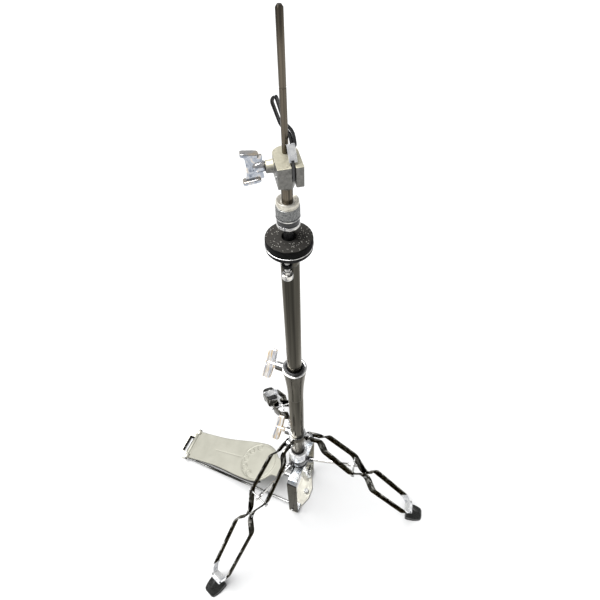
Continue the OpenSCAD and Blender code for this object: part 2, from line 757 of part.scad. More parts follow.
module leg_pins() {
    // Pivot pin at the collar
    translate([leg_pivot_r, 0, leg_pivot_z]) {
        y_pin(2.5, 2 * rail_t0 + strip_t + 3);
        for (side = [-1, 1]) translate([0, side * (rail_t0 + strip_t / 2 + 0.9), 0]) y_pin(4, 1.8);
    }
    // Brace pin
    translate([brace_pin_leg_r, 0, brace_pin_leg_z]) {
        y_pin(1.75, 43);
        for (side = [-1, 1]) translate([0, side * 22.1, 0]) y_pin(3.4, 1.6);
    }
    // Rivet where the rails pinch together
    on_slope() translate([along(pinch_r), 0, 0]) {
        y_pin(2.2, 7.6 + strip_t + 2);
        for (side = [-1, 1]) translate([0, side * (3.8 + strip_t / 2 + 0.75), 0]) y_pin(4, 1.5);
    }
}

// Rubber foot, a shield shape with a ridge down its middle
module leg_foot() {
    difference() {
        hull() {
            for (side = [-1, 1]) translate([foot_r - 15, side * 14.5, 0]) cylinder(r = 3, h = 13, $fn = 32);
            for (side = [-1, 1]) translate([foot_r + 2, side * 14.5, 0]) cylinder(r = 3, h = 8, $fn = 32);
            for (side = [-1, 1]) translate([foot_r + 15, side * 9, 0]) cylinder(r = 4, h = 6, $fn = 32);
            translate([foot_r - 12, 0, 0]) cylinder(r = 3, h = 27, $fn = 32);
        }
        leg_body();
        on_slope() translate([along(245), -22, -12]) cube([along(257) - along(245), 44, 24]);
    }
}

// Flat brace with a long eye for the leg's pin
module brace_body() {
    bar_h = 10;
    eye_r = 4.4;
    eye_back = 8;
    translate([ring_pin_r, 0, ring_pin_z]) rotate([0, -brace_rise, 0]) difference() {
        union() {
            y_pin(5.5, 2.5);
            translate([0, -1.25, -bar_h / 2]) cube([brace_len, 2.5, bar_h]);
            translate([brace_len - eye_back, -1.25, -7]) cube([eye_back, 2.5, 14]);
            translate([brace_len, 0, 0]) y_pin(7, 2.5);
            translate([brace_len - eye_back, 0, 0]) y_pin(7, 2.5);
        }
        y_pin(2 + fit, 20);
        translate([brace_len, 0, 0]) y_pin(eye_r, 20);
        translate([brace_len - eye_back, 0, 0]) y_pin(eye_r, 20);
        translate([brace_len - eye_back, -10, -eye_r]) cube([eye_back, 20, 2 * eye_r]);
    }
}

module leg(n) { color("#4c4d50") rotate(leg_dirs[n - 1]) leg_body(); }
module pins(n) { color("#d0d0d0") rotate(leg_dirs[n - 1]) leg_pins(); }
module foot(n) { color("#1d1e1f") rotate(leg_dirs[n - 1]) leg_foot(); }
module brace(n) { color("#c8c9cb") rotate(leg_dirs[n - 1]) brace_body(); }

// ---------- output ----------

base_plate();
frame_strap();
frame_rivets();
hub_spindle();
hub_nut();
socket_cup();
lower_tube();
clamp_collar();
tube_bushing();
spring_seat();
return_spring();
radius_rods();
heel_plate();
heel_pin();
spur_screw();
footboard();
toe_bracket();
toe_pin();
board_rivets();
pull_link();
upper_rod();
rod_coupler();
lower_rod();
rod_clevis();
clevis_pin();
spring_stop();
upper_tube();
tilter_hub();
seat_sleeve();
tilter_screw();
seat_cup();
seat_felt();
clutch_shaft();
lower_flange();
clutch_felt();
clutch_washer();
knurled_nut();
bevel_nut();
clutch_block();
lever_pin();
release_lever();
clutch_wing_bolt();
height_wing_bolt();
leg_wing_bolt();
tripod_ring();
ring_pins();
leg_collar();
leg(1);  // leg_1
leg(2);  // leg_2
leg(3);  // leg_3
pins(1);  // leg_1_pins
pins(2);  // leg_2_pins
pins(3);  // leg_3_pins
foot(1);  // leg_1_foot
foot(2);  // leg_2_foot
foot(3);  // leg_3_foot
brace(1);  // brace_1
brace(2);  // brace_2
brace(3);  // brace_3
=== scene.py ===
"""Hi-hat stand: finishes, fine pieces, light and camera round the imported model."""
import json
import math
import random

import bmesh
import bpy
from mathutils import Matrix, Vector, noise


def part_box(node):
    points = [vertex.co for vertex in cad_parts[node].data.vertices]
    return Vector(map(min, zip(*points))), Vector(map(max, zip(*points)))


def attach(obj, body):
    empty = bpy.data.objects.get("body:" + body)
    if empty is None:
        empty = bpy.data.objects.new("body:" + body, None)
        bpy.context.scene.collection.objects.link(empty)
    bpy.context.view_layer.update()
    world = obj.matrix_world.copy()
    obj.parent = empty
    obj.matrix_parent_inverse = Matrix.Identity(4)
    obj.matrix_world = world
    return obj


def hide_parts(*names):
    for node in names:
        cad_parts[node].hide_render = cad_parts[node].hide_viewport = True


MM = 0.001
TAU = 2 * math.pi

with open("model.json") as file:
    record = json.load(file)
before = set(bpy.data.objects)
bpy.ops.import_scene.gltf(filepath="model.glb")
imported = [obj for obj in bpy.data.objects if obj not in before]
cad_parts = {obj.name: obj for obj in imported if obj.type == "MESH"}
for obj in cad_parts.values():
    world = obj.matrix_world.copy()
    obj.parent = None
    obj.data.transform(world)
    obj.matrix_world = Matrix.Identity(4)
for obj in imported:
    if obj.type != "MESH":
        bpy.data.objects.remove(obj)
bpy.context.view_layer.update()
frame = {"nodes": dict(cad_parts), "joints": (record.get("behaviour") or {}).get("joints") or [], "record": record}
nodes = frame["nodes"]
joints = {joint["name"]: joint for joint in frame["joints"]}
node_slot = {part["node"]: part["material_slot"] for part in frame["record"]["subparts"]}


# ---------- camera ----------

def make_camera():
    """A 28 mm camera above the stand, looking 50.5 degrees down at it."""
    across = Vector((-0.379, 0.925, 0))
    ahead = Vector((-0.925, -0.379, 0))
    up = Vector((0, 0, 1))
    pitch = 0.881
    roll = 0.013
    eye = (0.3419, 0.1557, 1.1647)
    sight = ahead * math.cos(pitch) - up * math.sin(pitch)
    down = -(ahead * math.sin(pitch) + up * math.cos(pitch))
    right = across * math.cos(roll) + down * math.sin(roll)
    down = down * math.cos(roll) - across * math.sin(roll)
    data = bpy.data.cameras.new("camera")
    data.lens = 27.99
    data.sensor_width = 36
    data.shift_x = -0.00533
    data.shift_y = 0.0065
    data.clip_start = 0.01
    camera = bpy.data.objects.new("camera", data)
    turn = Matrix((right, -down, -sight)).transposed().to_4x4()
    camera.matrix_world = Matrix.Translation(eye) @ turn
    bpy.context.scene.collection.objects.link(camera)
    bpy.context.scene.camera = camera


# ---------- materials ----------

class Finish:
    """A material under construction, with its node tree and its shader."""

    def __init__(self, name, colour, metallic, roughness, **sockets):
        self.material = bpy.data.materials.new(name)
        self.material.use_nodes = True
        self.tree = self.material.node_tree
        self.shader = self.tree.nodes["Principled BSDF"]
        self.shader.inputs["Base Color"].default_value = (*colour, 1)
        self.shader.inputs["Metallic"].default_value = metallic
        self.shader.inputs["Roughness"].default_value = roughness
        for key, value in sockets.items():
            self.shader.inputs[key.replace("_", " ")].default_value = value

    def add(self, kind, **values):
        """A shader node, with its input sockets or properties set by name."""
        node = self.tree.nodes.new(kind)
        for key, value in values.items():
            socket = key.replace("_", " ")
            if socket in node.inputs:
                node.inputs[socket].default_value = value
            else:
                setattr(node, key, value)
        return node

    def link(self, source, socket):
        self.tree.links.new(source, socket)

    def place(self, stretch=(1, 1, 1)):
        """Object coordinates, stretched."""
        mapping = self.add("ShaderNodeMapping", Scale=stretch)
        self.link(self.add("ShaderNodeTexCoord").outputs["Object"], mapping.inputs["Vector"])
        return mapping.outputs["Vector"]

    def noise(self, scale, detail=4.0, roughness=0.55, stretch=(1, 1, 1), distortion=0.0):
        """A noise pattern over the object."""
        texture = self.add("ShaderNodeTexNoise", Scale=scale, Detail=detail, Roughness=roughness,
                           Distortion=distortion)
        self.link(self.place(stretch), texture.inputs["Vector"])
        return texture.outputs["Fac"]

    def ramp(self, source, stops):
        """A colour ramp with (position, colour) stops."""
        ramp = self.add("ShaderNodeValToRGB")
        elements = ramp.color_ramp.elements
        while len(elements) < len(stops):
            elements.new(0.5)
        for element, (position, colour) in zip(elements, stops):
            element.position = position
            element.color = (*colour, 1)
        self.link(source, ramp.inputs["Fac"])
        return ramp.outputs["Color"]

    def fade_along(self, vector, axis, low, high, curve="SMOOTHSTEP"):
        """A factor that goes from 0 at low to 1 at high along one axis of a vector."""
        split = self.add("ShaderNodeSeparateXYZ")
        self.link(vector, split.inputs["Vector"])
        spread = self.add("ShaderNodeMapRange", interpolation_type=curve, From_Min=low, From_Max=high)
        self.link(split.outputs[axis], spread.inputs["Value"])
        return spread.outputs["Result"]

    def blend(self, factor, first, second):
        """The first colour where the factor is 0 and the second where it is 1."""
        mix = self.add("ShaderNodeMix", data_type="RGBA")
        # A colour mix has its factor at input 0, its colours at 6 and 7 and its result at output 2
        self.link(factor, mix.inputs[0])
        self.link(first, mix.inputs[6])
        self.link(second, mix.inputs[7])
        return mix.outputs[2]

    def colour(self, source):
        self.link(source, self.shader.inputs["Base Color"])

    def vary(self, source, dark, light, low=0.35, high=0.65):
        """Base colour from dark, where the source is low, to light."""
        self.colour(self.ramp(source, [(low, dark), (high, light)]))

    def painted_light_from_above(self, side, top, start=0.15, end=0.75):
        """Painted light from above: colour side where the surface is upright, and top where it faces up."""
        normal = self.add("ShaderNodeNewGeometry").outputs["Normal"]
        self.colour(self.blend(self.fade_along(normal, "Z", start, end), side, top))

    def painted_light_pattern(self, source, side, top, start=0.15, end=0.75):
        """One pattern with colour stops for upright faces and others for faces that look up, as painted light from
        above.
        """
        self.painted_light_from_above(self.ramp(source, side), self.ramp(source, top), start, end)

    def roughness(self, source, low, high):
        """Roughness from low, where the source is faint, to high."""
        spread = self.add("ShaderNodeMapRange", From_Min=0.3, From_Max=0.7, To_Min=low, To_Max=high)
        self.link(source, spread.inputs["Value"])
        self.link(spread.outputs["Result"], self.shader.inputs["Roughness"])

    def bump(self, source, distance, strength):
        """Fine relief, distance in metres."""
        bump = self.add("ShaderNodeBump", Strength=strength, Distance=distance)
        self.link(source, bump.inputs["Height"])
        self.link(bump.outputs["Normal"], self.shader.inputs["Normal"])


def dark_chrome():
    """Chrome with painted reflection: dark upright faces with faint lengthwise streaks, and painted light where it
    faces up.
    """
    paint = Finish("dark_chrome", (0.08, 0.08, 0.082), 1.0, 0.14, Specular_Tint=(0.8, 0.78, 0.74, 1))
    # Painted reflection of dark surroundings on the upright faces, and painted light on the faces that look up
    bands = paint.noise(150, 3, 0.6, stretch=(1, 1, 0.012))
    side = paint.ramp(bands, [(0.3, (0.020, 0.019, 0.0155)), (0.72, (0.09, 0.084, 0.069))])
    top = paint.ramp(paint.noise(200, 4), [(0.3, (0.35, 0.355, 0.37)), (0.7, (0.8, 0.8, 0.79))])
    paint.painted_light_from_above(side, top, 0.3, 0.85)
    paint.roughness(paint.noise(90, 5), 0.1, 0.24)
    paint.bump(paint.noise(60, 2), 0.0002, 0.35)
    return paint


def leg_chrome():
    """The legs' chrome: wavier painted reflection, dark with broken painted highlights, and painted light where it
    faces up.
    """
    paint = Finish("leg_chrome", (0.1, 0.1, 0.1), 1.0, 0.16, Specular_Tint=(0.35, 0.34, 0.31, 1))
    # Painted reflection, dark with bright painted highlights in wavy patches
    reflection_patches = paint.noise(120, 5, 0.65, distortion=1.5)
    side = paint.ramp(reflection_patches, [(0.38, (0.008, 0.008, 0.0075)), (0.6, (0.05, 0.048, 0.042)),
                                (0.78, (0.3, 0.29, 0.26))])
    painted_glints = paint.noise(70, 4, 0.6, distortion=0.8)
    top = paint.ramp(painted_glints, [(0.5, (0.02, 0.019, 0.017)), (0.68, (0.55, 0.54, 0.5))])
    paint.painted_light_from_above(side, top, 0.2, 0.6)
    paint.roughness(paint.noise(200, 4), 0.1, 0.28)
    paint.bump(paint.noise(130, 3), 0.0005, 0.5)
    return paint


def bright_chrome():
    paint = Finish("bright_chrome", (0.7, 0.7, 0.71), 1.0, 0.1)
    # Painted reflection in mottled light and dark clouds, and painted light on the faces that look up
    clouds = paint.noise(130, 5, 0.65, distortion=0.9)
    side = [(0.36, (0.16, 0.16, 0.165)), (0.48, (0.52, 0.51, 0.49)), (0.62, (0.8, 0.78, 0.72))]
    top = [(0.32, (0.5, 0.5, 0.52)), (0.6, (0.88, 0.87, 0.85))]
    paint.painted_light_pattern(clouds, side, top)
    paint.roughness(paint.noise(220, 5), 0.06, 0.2)
    paint.bump(paint.noise(120, 2), 0.0002, 0.3)
    return paint


def wing_chrome():
    """Cast and chromed wings with painted reflections in bluish and warm clouds, and painted light where they face
    up.
    """
    paint = Finish("wing_chrome", (0.6, 0.6, 0.62), 1.0, 0.16)
    clouds = paint.noise(95, 4, 0.6, distortion=1.0)
    side = paint.ramp(clouds, [(0.34, (0.16, 0.18, 0.22)), (0.5, (0.42, 0.45, 0.5)),
                               (0.66, (0.75, 0.65, 0.53))])
    top = paint.ramp(paint.noise(70, 4), [(0.36, (0.42, 0.44, 0.5)), (0.5, (0.78, 0.76, 0.74)),
                                          (0.66, (0.85, 0.73, 0.58))])
    paint.painted_light_from_above(side, top)
    paint.roughness(paint.noise(260, 5), 0.1, 0.26)
    paint.bump(paint.noise(240, 3), 0.0002, 0.5)
    return paint


def rod_steel():
    paint = Finish("rod_steel", (0.2, 0.18, 0.15), 1.0, 0.26)
    lines = paint.noise(420, 3, 0.6, stretch=(1, 1, 0.01))
    paint.vary(lines, (0.04, 0.038, 0.031), (0.17, 0.142, 0.108), 0.32, 0.66)
    paint.roughness(paint.noise(500, 4, stretch=(1, 1, 0.05)), 0.18, 0.4)
    paint.bump(paint.noise(2500, 2, stretch=(1, 1, 0.04)), 0.00004, 0.4)
    return paint


def zinc_steel():
    paint = Finish("zinc_steel", (0.42, 0.42, 0.41), 1.0, 0.3)
    spangle = paint.noise(500, 5, 0.6)
    side = [(0.3, (0.07, 0.075, 0.08)), (0.7, (0.3, 0.3, 0.29))]
    top = [(0.3, (0.3, 0.3, 0.3)), (0.7, (0.62, 0.62, 0.6))]
    # The spangle is the zinc's own pattern, and faces that look up get lighter stops as painted light
    paint.painted_light_pattern(spangle, side, top)
    paint.roughness(paint.noise(700, 3), 0.2, 0.42)
    paint.bump(paint.noise(1500, 3), 0.00005, 0.4)
    return paint


def plate_steel():
    paint = Finish("plate_steel", (0.5, 0.48, 0.4), 0.6, 0.34)
    clouds = paint.noise(60, 6, 0.6)
    paint.vary(clouds, (0.56, 0.54, 0.47), (0.72, 0.7, 0.62), 0.35, 0.65)
    paint.roughness(paint.noise(300, 5), 0.28, 0.45)
    paint.bump(paint.noise(1800, 2), 0.00004, 0.4)
    return paint


def cast_board():
    paint = Finish("cast_board", (0.36, 0.35, 0.29), 0.35, 0.48)
    wear = paint.noise(34, 7, 0.6)
    paint.vary(wear, (0.335, 0.328, 0.275), (0.385, 0.377, 0.32), 0.3, 0.7)
    paint.roughness(paint.noise(140, 6), 0.4, 0.56)
    paint.bump(paint.noise(1400, 3, 0.7), 0.00006, 0.55)
    return paint


def clutch_cast():
    """Satin die-cast metal with painted light: cream on top, and painted shade on its upright faces."""
    paint = Finish("clutch_cast", (0.34, 0.32, 0.25), 0.65, 0.4)
    grain = paint.noise(260, 6, 0.65)
    side = [(0.3, (0.1, 0.098, 0.09)), (0.7, (0.21, 0.205, 0.19))]
    top = [(0.3, (0.58, 0.55, 0.42)), (0.7, (0.74, 0.7, 0.56))]
    paint.painted_light_pattern(grain, side, top, 0.1, 0.7)
    paint.roughness(paint.noise(500, 4), 0.3, 0.5)
    paint.bump(paint.noise(1600, 3, 0.7), 0.00008, 0.6)
    return paint


def black_nylon():
    paint = Finish("black_nylon", (0.012, 0.012, 0.013), 0.0, 0.3)
    paint.vary(paint.noise(300, 4), (0.008, 0.008, 0.009), (0.02, 0.02, 0.021))
    paint.roughness(paint.noise(400, 5), 0.18, 0.45)
    paint.bump(paint.noise(2200, 2), 0.00005, 0.4)
    return paint


def rubber():
    paint = Finish("rubber", (0.02, 0.021, 0.021), 0.0, 0.42)
    dust = paint.noise(120, 7, 0.7)
    paint.vary(dust, (0.005, 0.0052, 0.0045), (0.02, 0.0205, 0.018), 0.4, 0.8)
    paint.roughness(paint.noise(260, 5), 0.2, 0.4)
    paint.bump(paint.noise(1700, 4, 0.7), 0.0001, 0.5)
    return paint


def felt():
    paint = Finish("felt", (0.035, 0.034, 0.032), 0.0, 0.95, Specular_IOR_Level=0.08, Sheen_Weight=0.04,
                   Sheen_Roughness=0.5)
    wool = paint.noise(1300, 8, 0.75, distortion=1.5)
    side = [(0.34, (0.001, 0.001, 0.001)), (0.72, (0.007, 0.0068, 0.0065))]
    top = [(0.34, (0.018, 0.017, 0.0155)), (0.72, (0.085, 0.08, 0.073))]
    # Painted light: the upright sides nearly black as painted shade, the top lighter where light falls
    paint.painted_light_pattern(wool, side, top, 0.6, 0.92)
    paint.bump(wool, 0.0006, 0.9)
    return paint


def lint():
    paint = Finish("lint", (0.6, 0.57, 0.5), 0.0, 0.9)
    paint.vary(paint.noise(900, 3), (0.35, 0.33, 0.28), (0.85, 0.83, 0.78))
    return paint


def black_enamel():
    paint = Finish("black_enamel", (0.012, 0.012, 0.013), 0.0, 0.22, Coat_Weight=0.4, Coat_Roughness=0.12)
    paint.vary(paint.noise(160, 5), (0.006, 0.006, 0.007), (0.018, 0.018, 0.02))
    paint.roughness(paint.noise(300, 5), 0.16, 0.34)
    paint.bump(paint.noise(900, 3), 0.00005, 0.5)
    return paint


def white_chrome():
    """Chrome with a painted reflection of an evenly lit room, and painted light where it faces up."""
    paint = Finish("white_chrome", (0.85, 0.85, 0.86), 0.6, 0.2)
    clouds = paint.noise(110, 4, 0.6, distortion=0.6)
    side = [(0.34, (0.3, 0.31, 0.34)), (0.46, (0.62, 0.63, 0.66)), (0.6, (0.9, 0.9, 0.89))]
    top = [(0.3, (0.6, 0.61, 0.64)), (0.55, (0.95, 0.95, 0.94))]
    paint.painted_light_pattern(clouds, side, top)
    paint.roughness(paint.noise(240, 5), 0.14, 0.3)
    paint.bump(paint.noise(130, 2), 0.0002, 0.3)
    return paint


def strap_chrome():
    """The bent strap with painted reflection: dark on its near leg, light on the far leg as a painted reflection
    of the floor, and painted light where it faces up.
    """
    paint = Finish("strap_chrome", (0.1, 0.1, 0.1), 1.0, 0.2, Specular_Tint=(0.6, 0.59, 0.56, 1))
    # Painted reflection: the near leg dark, the far leg light
    near_leg_reflection_mask = paint.fade_along(paint.place(), "X", -0.02, 0.02)
    clouds = paint.noise(60, 4, 0.6, stretch=(1, 1, 0.2))
    near = paint.ramp(clouds, [(0.34, (0.014, 0.0137, 0.0128)), (0.66, (0.034, 0.0333, 0.031))])
    far = paint.ramp(clouds, [(0.34, (0.13, 0.125, 0.11)), (0.66, (0.3, 0.29, 0.26))])
    top = paint.ramp(paint.noise(80, 4), [(0.36, (0.55, 0.6, 0.66)), (0.6, (0.85, 0.86, 0.85))])
    paint.painted_light_from_above(paint.blend(near_leg_reflection_mask, far, near), top, 0.3, 0.8)
    paint.roughness(paint.noise(200, 5), 0.12, 0.3)
    paint.bump(paint.noise(160, 2), 0.0001, 0.3)
    return paint


def rod_chrome():
    """The floor rods: painted shade below the footboard, and a painted reflection that is bright at both open
    ends.
    """
    paint = Finish("rod_chrome", (0.3, 0.3, 0.3), 1.0, 0.16)
    from_heel = paint.fade_along(paint.place(), "Y", -0.3, -0.1, "LINEAR")
    black = (0, 0, 0)
    white = (1, 1, 1)
    # Painted shade under the footboard, painted reflection towards both ends
    ends = paint.ramp(from_heel, [(0.15, white), (0.4, black), (0.8, black), (0.98, white)])
    streaks = paint.noise(140, 4, 0.6, stretch=(1, 0.15, 1))
    below = paint.ramp(streaks, [(0.4, (0.008, 0.008, 0.0075)), (0.7, (0.06, 0.058, 0.052))])
    painted_reflection_ends = paint.ramp(streaks, [(0.34, (0.2, 0.2, 0.2)), (0.6, (0.8, 0.8, 0.79))])
    paint.colour(paint.blend(ends, below, painted_reflection_ends))
    paint.roughness(paint.noise(220, 5), 0.1, 0.26)
    paint.bump(paint.noise(120, 2), 0.0002, 0.3)
    return paint


def banded_chrome():
    """Chromed wings with painted reflections of warm and white bands on their long faces, and painted light where
    they face up.
    """
    paint = Finish("banded_chrome", (0.7, 0.7, 0.7), 0.5, 0.2)
    bands = paint.noise(260, 2, 0.5, stretch=(0.1, 1, 0.1))
    side = [(0.36, (0.3, 0.31, 0.34)), (0.43, (0.85, 0.85, 0.86)), (0.52, (0.72, 0.52, 0.28)),
            (0.6, (0.9, 0.89, 0.87))]
    top = [(0.38, (0.45, 0.46, 0.5)), (0.44, (0.9, 0.9, 0.9)), (0.52, (0.74, 0.52, 0.26)),
           (0.6, (0.95, 0.94, 0.92))]
    paint.painted_light_pattern(bands, side, top)
    paint.roughness(paint.noise(260, 5), 0.12, 0.28)
    paint.bump(paint.noise(220, 3), 0.00015, 0.4)
    return paint


def nickel():
    """Warm satin nickel, with painted light where it faces up."""
    paint = Finish("nickel", (0.7, 0.66, 0.56), 0.4, 0.36)
    clouds = paint.noise(160, 4, 0.6)
    side = [(0.3, (0.55, 0.52, 0.44)), (0.66, (0.86, 0.82, 0.71))]
    top = [(0.32, (0.66, 0.62, 0.53)), (0.62, (0.9, 0.87, 0.8))]
    paint.painted_light_pattern(clouds, side, top)
    paint.roughness(paint.noise(300, 5), 0.3, 0.46)
    paint.bump(paint.noise(1600, 2), 0.00004, 0.4)
    return paint


def matte_black():
    # On the footboard's flanges and round the heel window this black is painted shade
    paint = Finish("matte_black", (0.008, 0.008, 0.008), 0.0, 0.7, Specular_IOR_Level=0.08)
    paint.vary(paint.noise(180, 5), (0.004, 0.004, 0.004), (0.014, 0.0135, 0.013))
    paint.bump(paint.noise(900, 3), 0.00006, 0.5)
    return paint


def floor_paint():
    """Plain matt paint for the floor of the stage."""
    return Finish("floor_paint", (0.76, 0.76, 0.76), 0.0, 0.9, Specular_IOR_Level=0.1)


finishes = {make.__name__: make().material for make in (
    dark_chrome, leg_chrome, bright_chrome, wing_chrome, rod_steel, zinc_steel, plate_steel,
    cast_board, clutch_cast, black_nylon, rubber, felt, lint, black_enamel, nickel,
    white_chrome, strap_chrome, rod_chrome, banded_chrome, matte_black, floor_paint)}


# ---------- mesh tools, in millimetres ----------

def skin(bm, rings, wrap=True, loop=False, caps=False):
    """Quads between rings of points. wrap closes each ring, loop joins the last to the first."""
    made = [[bm.verts.new(point) for point in ring] for ring in rings]
    pairs = list(zip(made, made[1:]))
    if loop:
        pairs.append((made[-1], made[0]))
    for a, b in pairs:
        count = len(a)
        for i in range(count if wrap else count - 1):
            j = (i + 1) % count
            bm.faces.new((a[i], a[j], b[j], b[i]))
    if caps:
        bm.faces.new(made[0][::-1])
        bm.faces.new(made[-1])


def polar(radius, angle, z=0.0):
    """A point at a radius and an angle about Z."""
    return Vector((radius * math.cos(angle), radius * math.sin(angle), z))


def circle_angles(count):
    return [TAU * i / count for i in range(count)]


def turned(bm, profile, turn=Matrix(), segments=96, loop=True):
    """A body of revolution about Z from (radius, z) points."""
    angles = circle_angles(segments)
    skin(bm, [[turn @ polar(r, a, z) for a in angles] for r, z in profile], loop=loop)


def rounded(points, reach, steps=6):
    """The line with its corners rounded, starting reach before each corner."""
    points = [Vector(p) for p in points]
    line = [points[0]]
    for before, corner, after in zip(points, points[1:], points[2:]):
        back = before - corner
        on = after - corner
        a = corner + back.normalized() * min(reach, 0.45 * back.length)
        b = corner + on.normalized() * min(reach, 0.45 * on.length)
        for k in range(steps + 1):
            t = k / steps
            line.append(a * (1 - t) ** 2 + corner * 2 * t * (1 - t) + b * t * t)
    line.append(points[-1])
    return line


def flat_line(corners, reach, closed=True):
    """(x, y) corners rounded. An open line keeps its two ends sharp."""
    if closed:
        corners = corners + corners[:2]
    line = [(x, y) for x, y, _ in rounded([(x, y, 0) for x, y in corners], reach, 3)]
    return line[1:-1] if closed else line


def swept(bm, line, section, ups, loop=False):
    """A section of (side, up) offsets carried along a line. ups gives the up direction at each point."""
    rings = []
    last = len(line) - 1
    for i, point in enumerate(line):
        before = line[i - 1] if i or loop else point
        after = line[(i + 1) % len(line)] if i < last or loop else point
        ahead = (after - before).normalized()
        side = ahead.cross(ups[i]).normalized()
        lift = side.cross(ahead)
        rings.append([point + side * u + lift * v for u, v in section])
    skin(bm, rings, loop=loop, caps=not loop)


def box_section(width, height, corner, steps=3):
    """A rectangle with round corners as (u, v) points."""
    points = []
    for turn, (sx, sy) in enumerate(((1, 1), (-1, 1), (-1, -1), (1, -1))):
        for k in range(steps + 1):
            a = math.radians(90 * turn + 90 * k / steps)
            points.append((sx * (width / 2 - corner) + corner * math.cos(a),
                           sy * (height / 2 - corner) + corner * math.sin(a)))
    return points


def round_section(radius, sides=14):
    return [polar(radius, a).xy for a in circle_angles(sides)]


def prism(bm, outline, z0, z1, turn=Matrix()):
    """An outline of (x, y) points between two heights."""
    skin(bm, [[turn @ Vector((x, y, z)) for x, y in outline] for z in (z0, z1)], caps=True)


def threaded(bm, radius, pitch, z0, z1, turn=Matrix(), depth=0.35, segments=32):
    """A screw thread as a helical surface with closed ends."""
    per_turn = 8
    rows = int((z1 - z0) / pitch * per_turn)
    rings = [[turn @ Vector((0, 0, z0))] * segments]
    for row in range(rows + 1):
        z = z0 + (z1 - z0) * row / rows
        ring = []
        for i, a in enumerate(circle_angles(segments)):
            wave = abs(((z / pitch - i / segments) % 1) * 2 - 1)
            ring.append(turn @ polar(radius - depth * wave, a, z))
        rings.append(ring)
    rings.append([turn @ Vector((0, 0, z1))] * segments)
    skin(bm, rings)


def piece(name, bm, finish, body, stands_for=(), edges=0.0, sharp=38.0):
    """Turns a mesh into a finished piece that rides on a body."""
    bmesh.ops.remove_doubles(bm, verts=bm.verts, dist=0.001)
    bmesh.ops.recalc_face_normals(bm, faces=bm.faces)
    bm.transform(Matrix.Scale(MM, 4))
    for face in bm.faces:
        face.smooth = True
    for edge in bm.edges:
        if len(edge.link_faces) == 2 and edge.calc_face_angle(0) > math.radians(sharp):
            edge.smooth = False
    mesh = bpy.data.meshes.new(name)
    bm.to_mesh(mesh)
    bm.free()
    mesh.materials.append(finishes[finish])
    obj = bpy.data.objects.new(name, mesh)
    bpy.context.scene.collection.objects.link(obj)
    if edges:
        round_edges(obj, edges)
    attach(obj, body)
    if stands_for:
        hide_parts(*stands_for)
    return obj


def round_edges(obj, width, limit=35.0, segments=3):
    """Bevels the edges that are sharper than limit degrees by width millimetres."""
    bevel = obj.modifiers.new("edges", "BEVEL")
    bevel.width = width * MM
    bevel.segments = segments
    bevel.limit_method = "ANGLE"
    bevel.angle_limit = math.radians(limit)
    bevel.use_clamp_overlap = True
    bevel.harden_normals = True


def turned_piece(name, base, profile, finish, body, stands_for=(), edges=0.0, segments=96):
    """One body of revolution about Z as a piece, with its heights counted from base."""
    bm = bmesh.new()
    turned(bm, profile, raised(base), segments)
    piece(name, bm, finish, body, stands_for, edges)


def raised(z):
    return Matrix.Translation((0, 0, z))


def turn_z(degrees, at=(0, 0, 0)):
    """A turn about Z, then a move."""
    return Matrix.Translation(at) @ Matrix.Rotation(math.radians(degrees), 4, "Z")


def quarter_turn(axis, way=1):
    """A quarter turn about X or Y."""
    return Matrix.Rotation(way * math.pi / 2, 4, axis)


def yaw_of(point):
    """Degrees about Z from +X to a point."""
    return math.degrees(math.atan2(point[1], point[0]))


def joint_place(name):
    """A joint's place in millimetres."""
    return Vector(joints[name]["pos_m"]) / MM


def corners_of(node):
    """The lowest and the highest corner of a CAD node's box in millimetres."""
    return [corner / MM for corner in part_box(node)]


# ---------- CAD nodes that stay ----------

def finish_cad_nodes():
    """Every CAD node gets its finish and rounded edges."""
    for name, obj in nodes.items():
        obj.data.materials.clear()
        obj.data.materials.append(finishes[cad_finish.get(name, node_slot[name])])
        weld = obj.modifiers.new("weld", "WELD")
        weld.merge_threshold = 0.00002
        round_edges(obj, cad_edges.get(name, 0.35))


cad_finish = {"frame_strap": "strap_chrome", "radius_rods": "rod_chrome", "socket_cup": "white_chrome",
              "pull_link": "plate_steel", "leg_collar": "dark_chrome", "heel_pin": "dark_chrome",
              "spur_screw": "zinc_steel"}
cad_finish.update({f"brace_{n}": "bright_chrome" for n in (1, 2, 3)})
cad_edges = {"frame_strap": 0.9, "base_plate": 0.5, "heel_plate": 0.9, "leg_collar": 0.8,
             "socket_cup": 0.8, "tripod_ring": 0.6}
finish_cad_nodes()


# ---------- tripod legs ----------

# Radii from the tube's axis and heights above the floor
leg_pivot_r = 24
leg_pivot_z = 318
bend_r = 42
foot_r = 272
foot_z = 15
leg_fall = math.atan((leg_pivot_z - foot_z) / (foot_r - bend_r))
slope_up = Vector((math.sin(leg_fall), 0, math.cos(leg_fall)))
strip_h = 15.2
strip_t = 3
rail_t0 = 5.3


def along(r):
    """Distance down the sloping part of a leg for a radius."""
    return (r - bend_r) / math.cos(leg_fall)


def on_slope(s, t, up=0.0):
    """Point of a leg: s down the slope, t sideways, up out of its top edge."""
    return Vector((bend_r + s * math.cos(leg_fall) + up * math.sin(leg_fall), t,
                   leg_pivot_z - s * math.sin(leg_fall) + up * math.cos(leg_fall)))


